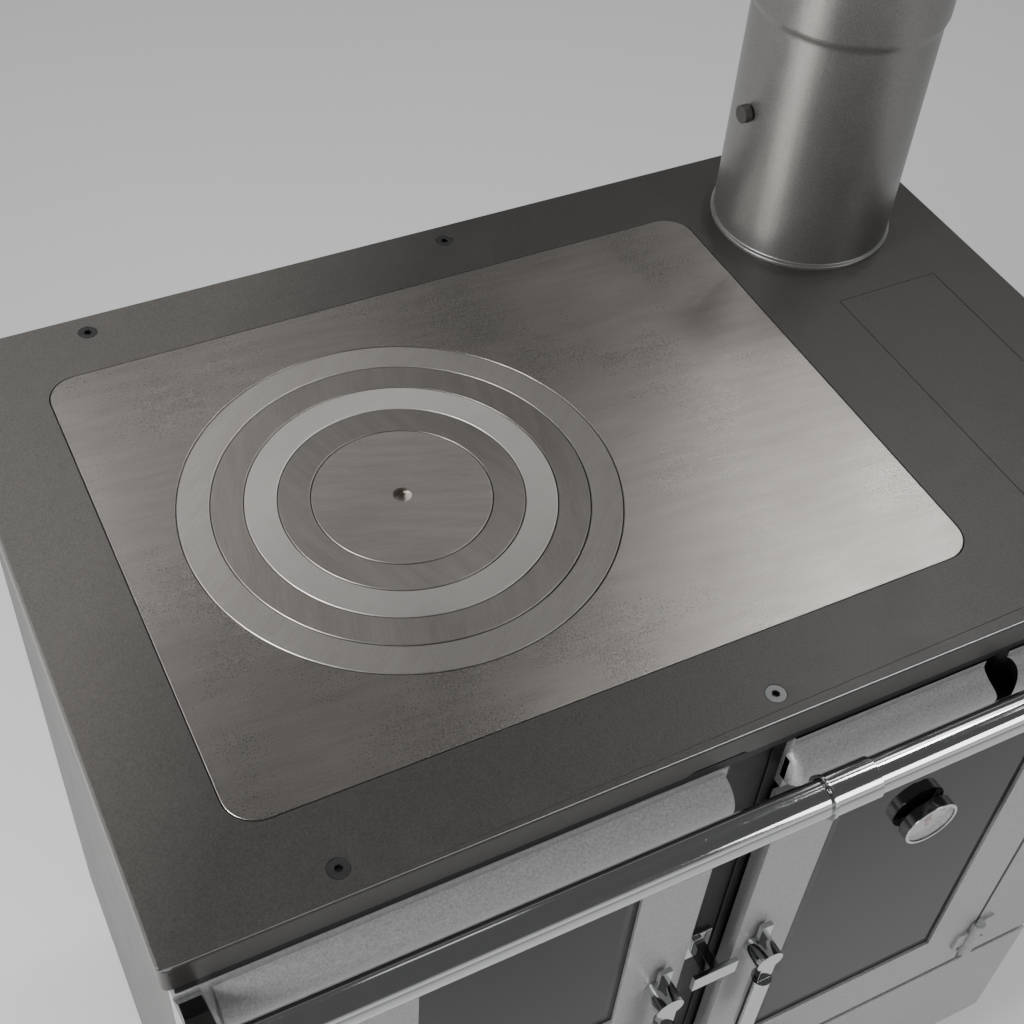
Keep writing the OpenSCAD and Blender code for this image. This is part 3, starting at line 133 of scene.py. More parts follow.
# %% Finishes
class Finish:
    """One material: its node tree, its shader and helpers for the patterns in it."""

    def __init__(self, name, **fixed):
        self.material = bpy.data.materials.new(name)
        self.material.use_nodes = True
        self.tree = self.material.node_tree
        self.shader = self.tree.nodes["Principled BSDF"]
        for socket, value in fixed.items():
            self.shader.inputs[socket.replace("_", " ")].default_value = value

    def connect(self, socket, value):
        if isinstance(value, Signal):
            self.tree.links.new(value.socket, socket)
        elif value is not None:
            socket.default_value = value

    def node(self, kind, settings, *values, output=0, **named):
        """Adds a node of any kind: its settings first, then values or links for its inputs."""
        made = self.tree.nodes.new(kind)
        for key, value in settings.items():
            setattr(made, key, value)
        for socket, value in zip(made.inputs, values):
            self.connect(socket, value)
        for key, value in named.items():
            self.connect(made.inputs[key.replace("_", " ")], value)
        return Signal(self, made.outputs[output])

    def feed(self, **named):
        """Links what varies over the surface to the shader's sockets."""
        for key, value in named.items():
            self.connect(self.shader.inputs[key.replace("_", " ")], value)

    def place(self, centre=(0, 0, 0), turn=0.0, stretch=(1, 1, 1)):
        """The piece's own place in metres, seen from centre, turned about Z and stretched."""
        own = self.node("ShaderNodeTexCoord", {}, output="Object")
        return self.node("ShaderNodeMapping", {"vector_type": "TEXTURE"}, own,
                         Location=centre, Rotation=(0, 0, turn), Scale=stretch)

    def axis(self, place, direction):
        """How far a place lies along a direction, as a number."""
        return self.node("ShaderNodeVectorMath", {"operation": "DOT_PRODUCT"}, place, direction,
                         output="Value")

    def noise(self, place, size, detail=2.0, rough=0.5):
        """A cloudy pattern whose blobs measure about size, in metres."""
        return self.node("ShaderNodeTexNoise", {}, place, Scale=1 / size, Detail=detail,
                         Roughness=rough)

    def cells(self, place, size, output=0):
        return self.node("ShaderNodeTexVoronoi", {}, place, Scale=1 / size, output=output)

    def mix(self, share, first, second):
        """The colour first where share is 0 and second where it is 1."""
        made = self.tree.nodes.new("ShaderNodeMix")
        made.data_type = "RGBA"
        for socket, value in zip((made.inputs[0], made.inputs[6], made.inputs[7]),
                                 (share, first, second)):
            self.connect(socket, value)
        return Signal(self, made.outputs[2])

    def bump(self, height, depth, under=None):
        """A normal for a height that runs from 0 to 1 over depth metres."""
        return self.node("ShaderNodeBump", {}, Strength=1.0, Distance=depth, Height=height,
                         Normal=under)


def grey(level, warmth=0.0):
    """A grey as a colour. Warmth shifts it from blue towards red by a share of its level."""
    return (level * (1 + warmth), level, level * (1 - warmth), 1.0)


def shade(colour, factor):
    """The same colour, darker or lighter."""
    return tuple(min(1.0, part * factor) for part in colour[:3]) + (1.0,)


# %% [markdown]
# ## Painted sheet metal
#
# Stove paint is sprayed and dries to a fine orange peel. Its gloss wanders a little, dust settles
# on it, and hands polish it here and there. One function makes all the paints of this cooker:
# they differ in colour, gloss, metallic flake and the size of their grain. The frame's paint is
# also painted lighter towards its left back, a painted sheen for light that falls there.

# %% Paint
def paint(name, colour, rough, flake=0.0, grain=0.0013, peel=0.00007, sparkle=0.12, dust=0.3,
          gloss=0.5, painted_sheen=1.0):
    """Paint in a colour. The last argument is how much lighter it is painted at the left back, a
    painted sheen for light falling there.
    """
    made = Finish(name, Metallic=flake, Specular_IOR_Level=gloss)
    own = made.place()
    # Painted sheen: towards the left back the colour is made lighter, standing in for light that
    # falls there.
    if painted_sheen != 1.0:
        toward = made.axis(own, (-0.8, 0.6, 0)).between(0.17, 0.31)
        colour_here = made.mix(toward, grey(1.0), grey(painted_sheen))
    clouds = made.noise(own, 0.20, 3.0)
    fine = made.noise(own, grain, 3.0, 0.65).between(0.30, 0.70)
    settled = made.noise(own, 0.03, 5.0, 0.7).between(0.50, 0.78)
    specks = made.cells(own, grain * 4)
    base = made.mix(fine, shade(colour, 0.74), shade(colour, 1.24))
    base = made.mix(clouds * 0.30, base, shade(colour, 0.80))
    base = made.mix(settled * (dust * 0.4), base, shade(colour, 1.8))
    base = made.mix((1 - specks.between(0.05, 0.20)) * sparkle, base, shade(colour, 2.2))
    if painted_sheen != 1.0:
        base = made.node("ShaderNodeVectorMath", {"operation": "MULTIPLY"}, base, colour_here)
    dull = clouds * 0.10 + settled * 0.08 + fine * 0.08
    made.feed(Base_Color=base, Roughness=dull + (rough - 0.12),
              Normal=made.bump(fine, peel))
    return made.material


# The frame's paint carries the painted sheen at its left back.
frame_paint = paint("frame_paint", grey(0.038, 0.07), 0.38, gloss=0.4, painted_sheen=2.2)
side_paint = paint("side_paint", grey(0.046, 0.05), 0.42)
# Dark paint for real dark parts, and also the painted shade of the strip beside the door glass.
dark_paint = paint("dark_paint", grey(0.010), 0.50, gloss=0.3)
flue_paint = paint("flue_paint", grey(0.225, 0.02), 0.40, flake=0.85, grain=0.0010,
                   peel=0.00003, sparkle=0.0, dust=0.1)
front_paint = paint("front_paint", grey(0.380, -0.004), 0.42, flake=0.20, grain=0.0016,
                    peel=0.00010, sparkle=0.0, dust=0.1)
# Printed black on the glass edge, and also painted shade on the walls of the bead's notch.
black_band = paint("black_band", grey(0.004), 0.35, gloss=0.4)
needle_paint = paint("needle_paint", (0.42, 0.03, 0.02, 1.0), 0.35, sparkle=0.0)
print("paints ready")

# %% [markdown]
# ## Milled cast iron
#
# A hotplate is cast, then milled flat, then ground in long strokes. That leaves fine lines along
# the stroke, broad bands where one pass met the next, and a mottled grain from the iron itself.
# Each ring was milled by itself and dropped in as it came, so that its strokes point another
# way than its neighbour's: the shader turns the same pattern by another angle for each. One side
# of each ring, and of the plate, is painted lighter and the other darker: painted light and
# shade for the way the light falls on it.

# %% Milled iron
RINGS = Vector((-0.1425, 0.0324, 0.855))


def milled(name, level, turn, lit_from, swing, span, rough=0.34):
    """Iron milled along a direction, turn degrees from X.

    It is painted lighter towards lit_from, in degrees, and darker on the far side: painted light
    and shade. Swing is the share of painted shade on the dark side, and span the two distances
    from the rings' centre between which it changes.
    """
    made = Finish(name, Metallic=1.0)
    own = made.place(RINGS)
    along = made.place(RINGS, math.radians(turn), (14, 1, 1))
    broad = made.place(RINGS, math.radians(turn), (8, 1, 1))
    lines = made.noise(along, 0.0016, 2.0, 0.6).between(0.30, 0.70)
    bands = made.noise(broad, 0.009, 1.0, 0.5).between(0.35, 0.65)
    grain = made.noise(own, 0.0016, 4.0, 0.8).between(0.22, 0.74)
    clouds = made.noise(own, 0.10, 3.0, 0.5).between(0.35, 0.65)
    tone = grey(level, 0.07)
    base = made.mix(lines, shade(tone, 0.90), shade(tone, 1.12))
    base = made.mix(grain * 0.9, shade(tone, 0.74), base)
    base = made.mix(bands * 0.16, base, shade(tone, 1.50))
    base = made.mix(clouds * 0.12, base, shade(tone, 0.60))
    # Painted light and shade: the iron is lighter towards lit_from and darker on the far side.
    lit = math.radians(lit_from)
    side = made.axis(own, (math.cos(lit), math.sin(lit), 0)).between(*span)
    base = made.mix((1 - side) * swing, base, shade(tone, 0.12))
    dull = grain * 0.12 + clouds * 0.06
    made.feed(Base_Color=base, Roughness=dull + (rough - 0.09),
              Normal=made.bump(lines * 0.4 + grain, 0.00004))
    return made.material


# For each iron, lit_from and swing set its painted light and shade.
hotplate_iron = milled("hotplate_iron", 0.50, -3, 143, 0.20, (0.03, 0.18), 0.30)
ring_irons = {
    "ring_1": milled("ring_1_iron", 0.86, 40, 145, 0.76, (-0.15, 0.15), 0.38),
    "ring_2": milled("ring_2_iron", 0.53, 75, 165, 0.60, (-0.13, 0.13), 0.38),
    "ring_3": milled("ring_3_iron", 1.00, 20, 115, 0.50, (-0.10, 0.06), 0.44),
    "ring_4": milled("ring_4_iron", 0.45, 110, 190, 0.35, (-0.08, 0.08), 0.40),
    "centre_disc": milled("disc_iron", 0.52, -20, 100, 0.25, (-0.06, 0.06), 0.40),
}
print("milled irons ready:", 1 + len(ring_irons))

# %% [markdown]
# ## Plated and galvanised steel
#
# Chromium plate is a mirror, so nearly all of its looks come from the room. What makes it steel
# and not glass are the faint wipe marks and the slight waviness under the plating. Galvanised
# sheet shows flat crystals of zinc, each of its own grey: a Voronoi pattern's colour gives each
# cell a number of its own.

# %% Chrome and zinc
def plated(name, level, rough, wipe=0.10):
    made = Finish(name, Metallic=1.0)
    own = made.place()
    wiped = made.noise(made.place(stretch=(5, 1, 1)), 0.004, 3.0, 0.7)
    waves = made.noise(own, 0.012, 1.0)
    spots = made.noise(own, 0.0022, 2.0).between(0.66, 0.74)
    base = made.mix(wiped, grey(level * 0.93, -0.01), grey(level, -0.01))
    base = made.mix(spots * 0.15, base, grey(level * 0.6))
    made.feed(Base_Color=base, Roughness=wiped * wipe + spots * 0.10 + rough,
              Normal=made.bump(waves, 0.00003))
    return made.material


def zinc(name, level, cell):
    made = Finish(name, Metallic=1.0)
    own = made.place()
    crystal = made.axis(made.cells(own, cell, "Color"), (0.34, 0.33, 0.33))
    frost = made.noise(own, 0.0012, 3.0, 0.7)
    base = made.mix(crystal, grey(level * 0.78, -0.02), grey(level * 1.15, -0.02))
    base = made.mix(frost * 0.25, base, grey(level * 0.6))
    made.feed(Base_Color=base, Roughness=crystal * 0.18 + frost * 0.12 + 0.30,
              Normal=made.bump(crystal, 0.00003))
    return made.material


chrome = plated("chrome", 0.58, 0.035)
satin_chrome = plated("satin_chrome", 0.66, 0.20)
black_steel = plated("black_steel", 0.14, 0.30)
worn_edge = plated("worn_edge", 0.62, 0.30)
galvanised = zinc("galvanised", 0.46, 0.009)
foot_zinc = zinc("foot_zinc", 0.50, 0.004)
print("plated steels ready")

# %% [markdown]
# ## Iron as cast, firebrick, board and rope
#
# Inside the cooker nothing is polished. Cast iron keeps the skin of the sand mould, firebrick is
# pressed from coarse clay and chips at its edges, the insulation is felted mineral fibre, and the
# seals are ropes of woven glass. All of them are rough to the touch, so the bump does most of the
# work and its depth is what tells them apart.

# %% Rough finishes
def rough_skin(name, dark, light, grain, depth, rough, metal=0.0, pits=0.0):
    made = Finish(name, Metallic=metal)
    own = made.place()
    sand = made.noise(own, grain, 4.0, 0.7)
    lumps = made.noise(own, grain * 9, 3.0)
    clouds = made.noise(own, 0.09, 3.0)
    holes = 1 - made.cells(own, grain * 5).between(0.05, 0.30)
    base = made.mix(sand.between(0.30, 0.70), dark, light)
    base = made.mix(clouds.between(0.35, 0.70) * 0.40, base, shade(dark, 0.9))
    base = made.mix(holes * pits, base, shade(dark, 0.4))
    made.feed(Base_Color=base, Roughness=sand * 0.15 + (rough - 0.07),
              Normal=made.bump(sand * 0.5 + lumps * 0.5 - holes * pits, depth))
    return made.material


def rope(name, level, pitch):
    """Woven strands: two sets of ridges that cross at right angles, a strand apart."""
    made = Finish(name, Sheen_Weight=0.3, Roughness=0.9)
    own = made.place()
    waves = [made.node("ShaderNodeMath", {"operation": "SINE"},
                       made.axis(own, direction) * (2 * math.pi / pitch))
             for direction in ((0.7, 0.5, 0.7), (0.7, 0.5, -0.7))]
    ridge = waves[0] * waves[1] * 0.5 + 0.5
    fuzz = made.noise(own, 0.0006, 3.0, 0.8)
    base = made.mix(ridge, grey(level * 0.35), grey(level))
    base = made.mix(fuzz * 0.4, base, grey(level * 1.3))
    made.feed(Base_Color=base, Normal=made.bump(ridge + fuzz * 0.3, 0.0007))
    return made.material


cast_skin = rough_skin("cast_skin", grey(0.045, 0.03), grey(0.095, 0.03), 0.0013, 0.0004, 0.62,
                       metal=0.6)
firebrick = rough_skin("firebrick", (0.33, 0.25, 0.16, 1), (0.60, 0.49, 0.34, 1), 0.0022, 0.0012,
                       0.92, pits=0.5)
board = rough_skin("mineral_board", (0.44, 0.40, 0.29, 1), (0.66, 0.61, 0.47, 1), 0.0016,
                   0.0008, 0.95)
glass_rope = rope("glass_rope", 0.20, 0.0042)
flat_band = rope("flat_band", 0.55, 0.0025)
print("rough finishes ready")

# %% [markdown]
# ## Enamel and glass
#
# Enamel is glass melted on steel: a speckled ground under a clear gloss, which Blender calls a
# coat. The door glass is tinted nearly black so that only the fire shows through it. The gauge
# has clear glass, thin enough to need no tint at all.

# %% Enamel and glass
def enamel(name, ground, fleck, share, size=0.0016):
    made = Finish(name, Coat_Weight=0.6, Coat_Roughness=0.12)
    own = made.place()
    dots = 1 - made.cells(own, size).between(0.10, 0.26)
    some = made.noise(own, size * 4, 1.0).between(0.46, 0.54)
    clouds = made.noise(own, 0.10, 2.0)
    base = made.mix(clouds, shade(ground, 0.85), shade(ground, 1.15))
    base = made.mix(dots * some * share, base, fleck)
    made.feed(Base_Color=base, Roughness=clouds * 0.10 + 0.28,
              Normal=made.bump(made.noise(own, 0.006, 2.0), 0.00012))
    return made.material


def glass(name, tint, through, rough, index=1.5):
    made = Finish(name, Transmission_Weight=through, IOR=index)
    own = made.place()
    film = made.noise(own, 0.05, 5.0, 0.7).between(0.45, 0.75)
    dust = made.noise(own, 0.0010, 1.0).between(0.68, 0.76)
    made.feed(Roughness=film * 0.05 + dust * 0.12 + rough,
              Base_Color=made.mix(dust * 0.4, tint, shade(tint, 3.0)))
    return made.material


oven_enamel = enamel("oven_enamel", grey(0.075, -0.05), grey(0.42, -0.03), 0.8)
tray_enamel = enamel("tray_enamel", grey(0.012), grey(0.30), 0.5, 0.0011)
door_glass = glass("door_glass", grey(0.006, 0.08), 0.2, 0.02, 1.25)
gauge_glass = glass("gauge_glass", grey(0.97), 1.0, 0.0)
dial_white = enamel("dial_white", grey(0.86, 0.01), grey(0.70), 0.3, 0.0004)
dial_ink = enamel("dial_ink", grey(0.02), grey(0.05), 0.3, 0.0004)
print("enamels and glasses ready")

# %% [markdown]
# ## Dressing a node
#
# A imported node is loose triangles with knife-sharp edges. Real sheet is bent over a radius and
# real castings are ground by hand, so every edge has a small round that catches the light. The
# steps are those a modeller would take by hand: merge the points, dissolve the triangles of each
# flat face into one, mark the edges that are both sharp and long enough, bevel those, and
# weight the normals so that flat faces stay flat to the eye. It is done to a copy, which then
# stands for the node.

# %% Dressing
def only(piece):
    """Leaves one piece selected and active."""
    bpy.ops.object.select_all(action="DESELECT")
    piece.select_set(True)
    bpy.context.view_layer.objects.active = piece


def apply_modifier(piece, kind, **settings):
    only(piece)
    modifier = piece.modifiers.new(kind.lower(), kind)
    for key, value in settings.items():
        setattr(modifier, key, value)
    bpy.ops.object.modifier_apply(modifier=modifier.name)


def edge_angle(edge, faces_of):
    """The angle between an edge's two faces, or 0 where it has not exactly two."""
    pair = faces_of.get(edge, ())
    return pair[0].angle(pair[1], 0.0) if len(pair) == 2 else 0.0


def round_edges(piece, width, segments=2, where=None, sharpest=35.0, clamp=True):
    """Bevels the sharp edges that are long enough, or those whose middle passes a test.

    With clamp, one narrow place makes all the rounds of the piece narrower.
    """
    mesh = piece.data
    faces_of = {}
    for face in mesh.polygons:
        for key in face.edge_keys:
            faces_of.setdefault(key, []).append(face.normal)
    weights = mesh.attributes.get("bevel_weight_edge")
    if weights is None:
        weights = mesh.attributes.new("bevel_weight_edge", "FLOAT", "EDGE")
    for edge, weight in zip(mesh.edges, weights.data):
        first, second = (mesh.vertices[index].co for index in edge.vertices)
        chosen = where((first + second) / 2) if where else (first - second).length > 1.5 * width
        sharp = edge_angle(edge.key, faces_of) > math.radians(sharpest)
        weight.value = 1.0 if sharp and chosen else 0.0
    apply_modifier(piece, "BEVEL", width=width, segments=segments, limit_method="WEIGHT",
                   use_clamp_overlap=clamp, harden_normals=False)


def finish_normals(piece, angle=32.0):
    only(piece)
    bpy.ops.object.shade_smooth_by_angle(angle=math.radians(angle))
    apply_modifier(piece, "WEIGHTED_NORMAL", keep_sharp=True, weight=100)


def merged_copy(node, name):
    """A copy of a node's mesh with its points merged and its flat faces made whole."""
    mesh = nodes[node].data.copy()
    piece = bpy.data.objects.new(name, mesh)
    scene.collection.objects.link(piece)
    mesh.materials.clear()
    only(piece)
    if mesh.has_custom_normals:
        bpy.ops.mesh.customdata_custom_splitnormals_clear()
    bpy.ops.object.mode_set(mode="EDIT")
    bpy.ops.mesh.select_all(action="SELECT")
    bpy.ops.mesh.remove_doubles(threshold=0.000004)
    bpy.ops.mesh.dissolve_limited(angle_limit=math.radians(0.3))
    bpy.ops.object.mode_set(mode="OBJECT")
    return piece


def hang(piece, node, material=None):
    """Lets a finished piece ride where a node rides."""
    if material:
        piece.data.materials.clear()
        piece.data.materials.append(material)
    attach(piece, body_of[node])
    return piece


def dress(node, material, width=0.6 * MM, segments=2, wide=None, clamp=True):
    """Rounds a copy of a node. Wide gives a first, larger round: its width and its test."""
    piece = merged_copy(node, node + "_dressed")
    if wide:
        round_edges(piece, wide[0], 5, where=wide[1], clamp=False)
    round_edges(piece, width, segments, sharpest=42.0 if wide else 35.0, clamp=clamp)
    finish_normals(piece)
    hang(piece, node, material)
    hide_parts(node)
    return piece


def second_finish(piece, material, test):
    """Gives a second material to the faces that pass a test."""
    piece.data.materials.append(material)
    chosen = [face for face in piece.data.polygons if test(face)]
    for face in chosen:
        face.material_index = len(piece.data.materials) - 1
    print(piece.name, "faces with", material.name + ":", len(chosen))

# %% [markdown]
# ## The top: frame, hotplate and rings
#
# The frame is thick sheet with a soft outer edge. The hotplate and the rings are milled, so
# their edges are only broken with a file: less than a millimetre, which shows as the thin bright
# line along each gap. The cover's gap is so fine that only its edge shows. Along the frame's
# front edge the paint has worn off, so the faces of its round get bare steel.

# %% The top
frame_low, frame_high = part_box("top_frame")
NEAR = 1 * MM
FRAME_ROUND = 2.2 * MM
WORN_HIGH = 1.4 * MM
WORN_DEEP = 3 * MM
FILED = 0.7 * MM


def outer_top(middle):
    """Whether a place is on the frame's outer edge, at its top."""
    inside = (frame_low.x + NEAR < middle.x < frame_high.x - NEAR
              and frame_low.y + NEAR < middle.y < frame_high.y - NEAR)
    return middle.z > frame_high.z - NEAR and not inside


def worn(face):
    """Whether a face lies on the round of the front edge, where hands have bared the steel."""
    return (face.center.z > frame_high.z - WORN_HIGH and face.center.y < frame_low.y + WORN_DEEP
            and -0.75 < face.normal.y < -0.30)


top_frame = dress("top_frame", frame_paint, 0.4 * MM, 2, wide=(FRAME_ROUND, outer_top),
                  clamp=False)
second_finish(top_frame, worn_edge, worn)
dress("hotplate", hotplate_iron, FILED, 3, clamp=False)
for ring, iron in ring_irons.items():
    dress(ring, iron, FILED, 3, clamp=False)
dress("cleaning_cover", frame_paint, 0.5 * MM, clamp=False)
dress("hotplate_seal", flat_band, 0.3 * MM)
dress("frame_screws", black_steel, 0.25 * MM)
print("top dressed")

# %% [markdown]
# ## Flue
#
# The pipe is rolled sheet with a bead at its foot, painted like the frame but with metal flake in
# the paint, so that it shows one long soft highlight down its side.

# %% Flue
pipe = dress("flue_pipe", flue_paint, 0.5 * MM, 3)
dress("flue_spigot", cast_skin, 0.8 * MM)
dress("flue_damper", cast_skin, 0.8 * MM)

# %% [markdown]
# ## Fascia, hand rail and doors
#
# The fascia strips and the door frames are sprayed in a pale, slightly coarse silver grey. The
# inner ends of the two beads are rounded more than the rest, and the walls of the notch in the
# right bead are painted black, a painted shade for the dark inside the notch. The rail and
# everything that a hand takes hold of is plated.

# %% Front
left_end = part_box("left_fascia")[1].x
right_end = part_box("right_fascia")[0].x
FASCIA_ROUND = 1.2 * MM
END_ROUND = 6 * MM
END_DEEP = 1.5 * MM
NOTCH = Vector((170 * MM, -236.8 * MM))
NOTCH_R = 12 * MM
NOTCH_SLACK = 0.5 * MM
dress("left_fascia", front_paint, FASCIA_ROUND, 3,
      wide=(END_ROUND, lambda middle: middle.x > left_end - END_DEEP))
bead = dress("right_fascia", front_paint, FASCIA_ROUND, 3,
             wide=(END_ROUND, lambda middle: middle.x < right_end + END_DEEP))
# The notch's walls get the black paint: a painted shade for the shadow inside the notch.
second_finish(bead, black_band,
              lambda face: (face.center.xy - NOTCH).length < NOTCH_R + NOTCH_SLACK)
for node in ("left_column", "right_column", "firebox_door", "oven_door", "ash_drawer_front",
             "wood_drawer_front"):
    dress(node, front_paint, 1.4 * MM, 3)
for node in ("left_rail", "right_rail"):
    dress(node, chrome, 0.5 * MM)
dress("rail_collar", chrome, 0.3 * MM)
dress("rail_brackets", chrome, 1.5 * MM, 3)
dress("latch_keeper", chrome, 0.6 * MM)
dress("front_plate", dark_paint, 0.6 * MM)
for node in ("firebox_glass", "oven_glass"):
    dress(node, door_glass, 0.5 * MM)
for node in ("firebox_gasket", "oven_gasket"):
    dress(node, glass_rope, 1.5 * MM, 3)
for node in ("firebox_latch", "oven_latch"):
    dress(node, chrome, 1.0 * MM, 3)
dress("hinge_pins", chrome, 0.4 * MM)
dress("ash_handle", chrome, 2.0 * MM, 4)
dress("wood_drawer_handle", chrome, 3.0 * MM, 4)
dress("air_valve", satin_chrome, 0.8 * MM)
print("front dressed")

# %% [markdown]
# ### Glazing
#
# A black band is printed round the edge of each glass, which hides the rope behind it, and a
# slim dark strip over the joint between glass and frame is painted shade: it stands for the
# shaded inner wall of the frame round the glass. Both start as one flat rectangle: insetting it
# makes the ring, the middle is deleted, and the ring is made solid.

# %% Glazing
def flat_ring(name, window, y, outset, width, thick, material, node):
    """A rectangular ring just inside a window, given as x0, x1, z0, z1 in metres."""
    x0, x1, z0, z1 = window
    bpy.ops.object.select_all(action="DESELECT")
    bpy.ops.mesh.primitive_plane_add(size=1, rotation=(math.pi / 2, 0, 0),
                                     location=((x0 + x1) / 2, y, (z0 + z1) / 2))
    ring = bpy.context.object
    ring.name = name
    ring.scale = (x1 - x0 - 2 * outset, z1 - z0 - 2 * outset, 1)
    bpy.ops.object.transform_apply()
    bpy.ops.object.mode_set(mode="EDIT")
    bpy.ops.mesh.select_all(action="SELECT")
    bpy.ops.mesh.inset(thickness=width, depth=0)
    bpy.ops.mesh.delete(type="FACE")
    bpy.ops.object.mode_set(mode="OBJECT")
    apply_modifier(ring, "SOLIDIFY", thickness=thick, offset=-1)
    round_edges(ring, 0.3 * thick, 2)
    finish_normals(ring)
    hang(ring, node, material)
    return ring


STILE = 53 * MM
LOW_RAIL = 72 * MM
TOP_RAIL = 41 * MM
BAND_WIDTH = 9 * MM
SHADE_STRIP_WIDTH = 4.5 * MM
for door in ("firebox", "oven"):
    leaf_low, leaf_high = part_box(door + "_door")
    window = (leaf_low.x + STILE, leaf_high.x - STILE,
              leaf_low.z + LOW_RAIL, leaf_high.z - TOP_RAIL)
    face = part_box(door + "_glass")[0].y
    flat_ring(door + "_glass_band", window, face - 0.05 * MM, 0.4 * MM, BAND_WIDTH, 0.04 * MM,
              black_band, door + "_glass")
    # This dark strip is painted shade: it stands for the shaded inner wall of the frame beside
    # the glass.
    flat_ring(door + "_glazing_bead", window, face - 0.1 * MM, 0.2 * MM, SHADE_STRIP_WIDTH, 1.6 * MM,
              dark_paint, door + "_door")
print("glazing done")

# %% [markdown]
# ## Carcass
#
# Sides, back, base and plinth are folded sheet. The boards behind them keep the heat in.

# %% Carcass
for node in ("left_side", "right_side"):
    dress(node, side_paint, 0.6 * MM)
for node in ("back_panel", "base_plate", "divider_plate"):
    dress(node, galvanised, 0.5 * MM)
dress("plinth", dark_paint, 0.6 * MM)
dress("levelling_feet", foot_zinc, 1.2 * MM)
dress("insulation_boards", board, 1.0 * MM)
dress("wood_drawer_box", galvanised, 0.5 * MM)
dress("ash_pan", dark_paint, 0.5 * MM)
print("carcass dressed")

# %% [markdown]
# ## Firebox, smoke box and oven
#
# The firebox is welded from plate and lined with brick. The oven is an enamelled box over which
# the smoke passes, with a chromed rack and an enamelled tray in it.

# %% Inside
dress("firebox_shell", cast_skin, 1.0 * MM)
for node in ("left_firebrick", "right_firebrick", "rear_firebrick"):
    dress(node, firebrick, 2.0 * MM, 3)
dress("grate", cast_skin, 1.0 * MM)
dress("smoke_box", dark_paint, 0.5 * MM)
dress("start_damper", satin_chrome, 0.8 * MM, 3)
dress("oven_liner", oven_enamel, 0.6 * MM)
dress("oven_rack", chrome, 0.4 * MM)
dress("oven_tray", tray_enamel, 0.4 * MM)
print("inside dressed")

# %% [markdown]
# ## Thermometer
#
# The oven's thermometer is a plated cup with a white dial under glass. The dial is drawn as
# real pieces: a disc, a ring of strokes and plain numbers in steps of a hundred degrees.

# %% Thermometer
dress("thermometer_case", chrome, 0.7 * MM, 3)
dress("thermometer_needle", needle_paint, 0.15 * MM)
dress("thermometer_lens", gauge_glass, 0.4 * MM)

case_low, case_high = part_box("thermometer_case")
RIM = 2.7 * MM
DIAL_EDGE = 1.2 * MM
DIAL_R = (case_high.z - case_low.z) / 2 - RIM
DIAL_X = (case_low.x + case_high.x) / 2
DIAL_Z = (case_low.z + case_high.z) / 2
DIAL_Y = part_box("thermometer_needle")[1].y + 0.5 * MM


def dial_piece(piece, name, material):
    piece.name = name
    hang(piece, "thermometer_case", material)
    return piece


bpy.ops.object.select_all(action="DESELECT")
bpy.ops.mesh.primitive_circle_add(vertices=96, radius=DIAL_R, fill_type="NGON",
                                  location=(DIAL_X, DIAL_Y, DIAL_Z), rotation=(math.pi / 2, 0, 0))
dial = bpy.context.object
bpy.ops.object.transform_apply()
bpy.ops.object.mode_set(mode="EDIT")
bpy.ops.mesh.select_all(action="SELECT")
bpy.ops.mesh.inset(thickness=DIAL_EDGE, depth=0)
bpy.ops.mesh.inset(thickness=0.4 * MM, depth=-0.2 * MM)
bpy.ops.object.mode_set(mode="OBJECT")
apply_modifier(dial, "SOLIDIFY", thickness=0.3 * MM, offset=-1)
dial_piece(dial, "thermometer_dial", dial_white)
print("dial radius", round(DIAL_R / MM, 2), "mm")


# %% [markdown]
# ### Strokes and numbers
#
# Each stroke is a thin block set at its own angle, every fifth one longer and wider, and all are
# joined into one piece. The needle swings 135 degrees to either side, so the scale does too. The
# numbers are text turned into mesh.

# %% Scale
def on_dial(angle, radius):
    """The place on the dial at an angle from the top, clockwise."""
    return Vector((DIAL_X + radius * math.sin(angle), DIAL_Y - 0.25 * MM,
                   DIAL_Z + radius * math.cos(angle)))


STEP = 9
NUMBER_STEP = 5 * STEP
NUMBER_IN = 6.4 * MM
strokes = []
for step in range(-15, 16):
    angle = math.radians(step * STEP)
    long_one = step % 5 == 0
    length = (2.6 if long_one else 1.3) * MM
    middle = on_dial(angle, DIAL_R - DIAL_EDGE - length / 2)
    bpy.ops.mesh.primitive_cube_add(size=1, location=middle, rotation=(0, angle, 0))
    stroke = bpy.context.object
    stroke.scale = ((0.5 if long_one else 0.25) * MM, 0.12 * MM, length)
    strokes.append(stroke)
bpy.ops.object.select_all(action="DESELECT")
for stroke in strokes:
    stroke.select_set(True)
bpy.context.view_layer.objects.active = strokes[0]
bpy.ops.object.join()
scale_marks = bpy.context.object
bpy.ops.object.transform_apply()
round_edges(scale_marks, 0.04 * MM, 1)
finish_normals(scale_marks)
dial_piece(scale_marks, "thermometer_scale", dial_ink)

for index, number in enumerate(("0", "100", "200", "300", "400", "500")):
    angle = math.radians((index - 2.5) * NUMBER_STEP)
    bpy.ops.object.text_add(location=on_dial(angle, DIAL_R - NUMBER_IN),
                            rotation=(math.pi / 2, 0, 0))
    text = bpy.context.object
    text.data.body = number
    text.data.size = 3.2 * MM
    text.data.align_x = "CENTER"
    text.data.align_y = "CENTER"
    text.data.extrude = 0.05 * MM
    only(text)
    bpy.ops.object.convert(target="MESH")
    bpy.ops.object.transform_apply()
    dial_piece(bpy.context.object, "thermometer_number_" + number, dial_ink)
print("scale drawn")

# %% [markdown]
# ## Floor, light and air
#
# The cooker stands on a pale floor in a plain room. The world gives soft light from all sides.
# What the camera, metal and glass see of it is a separate, paler picture: bright round the
# horizon and dimmer overhead, which is what gives plated steel its dark and bright streaks.

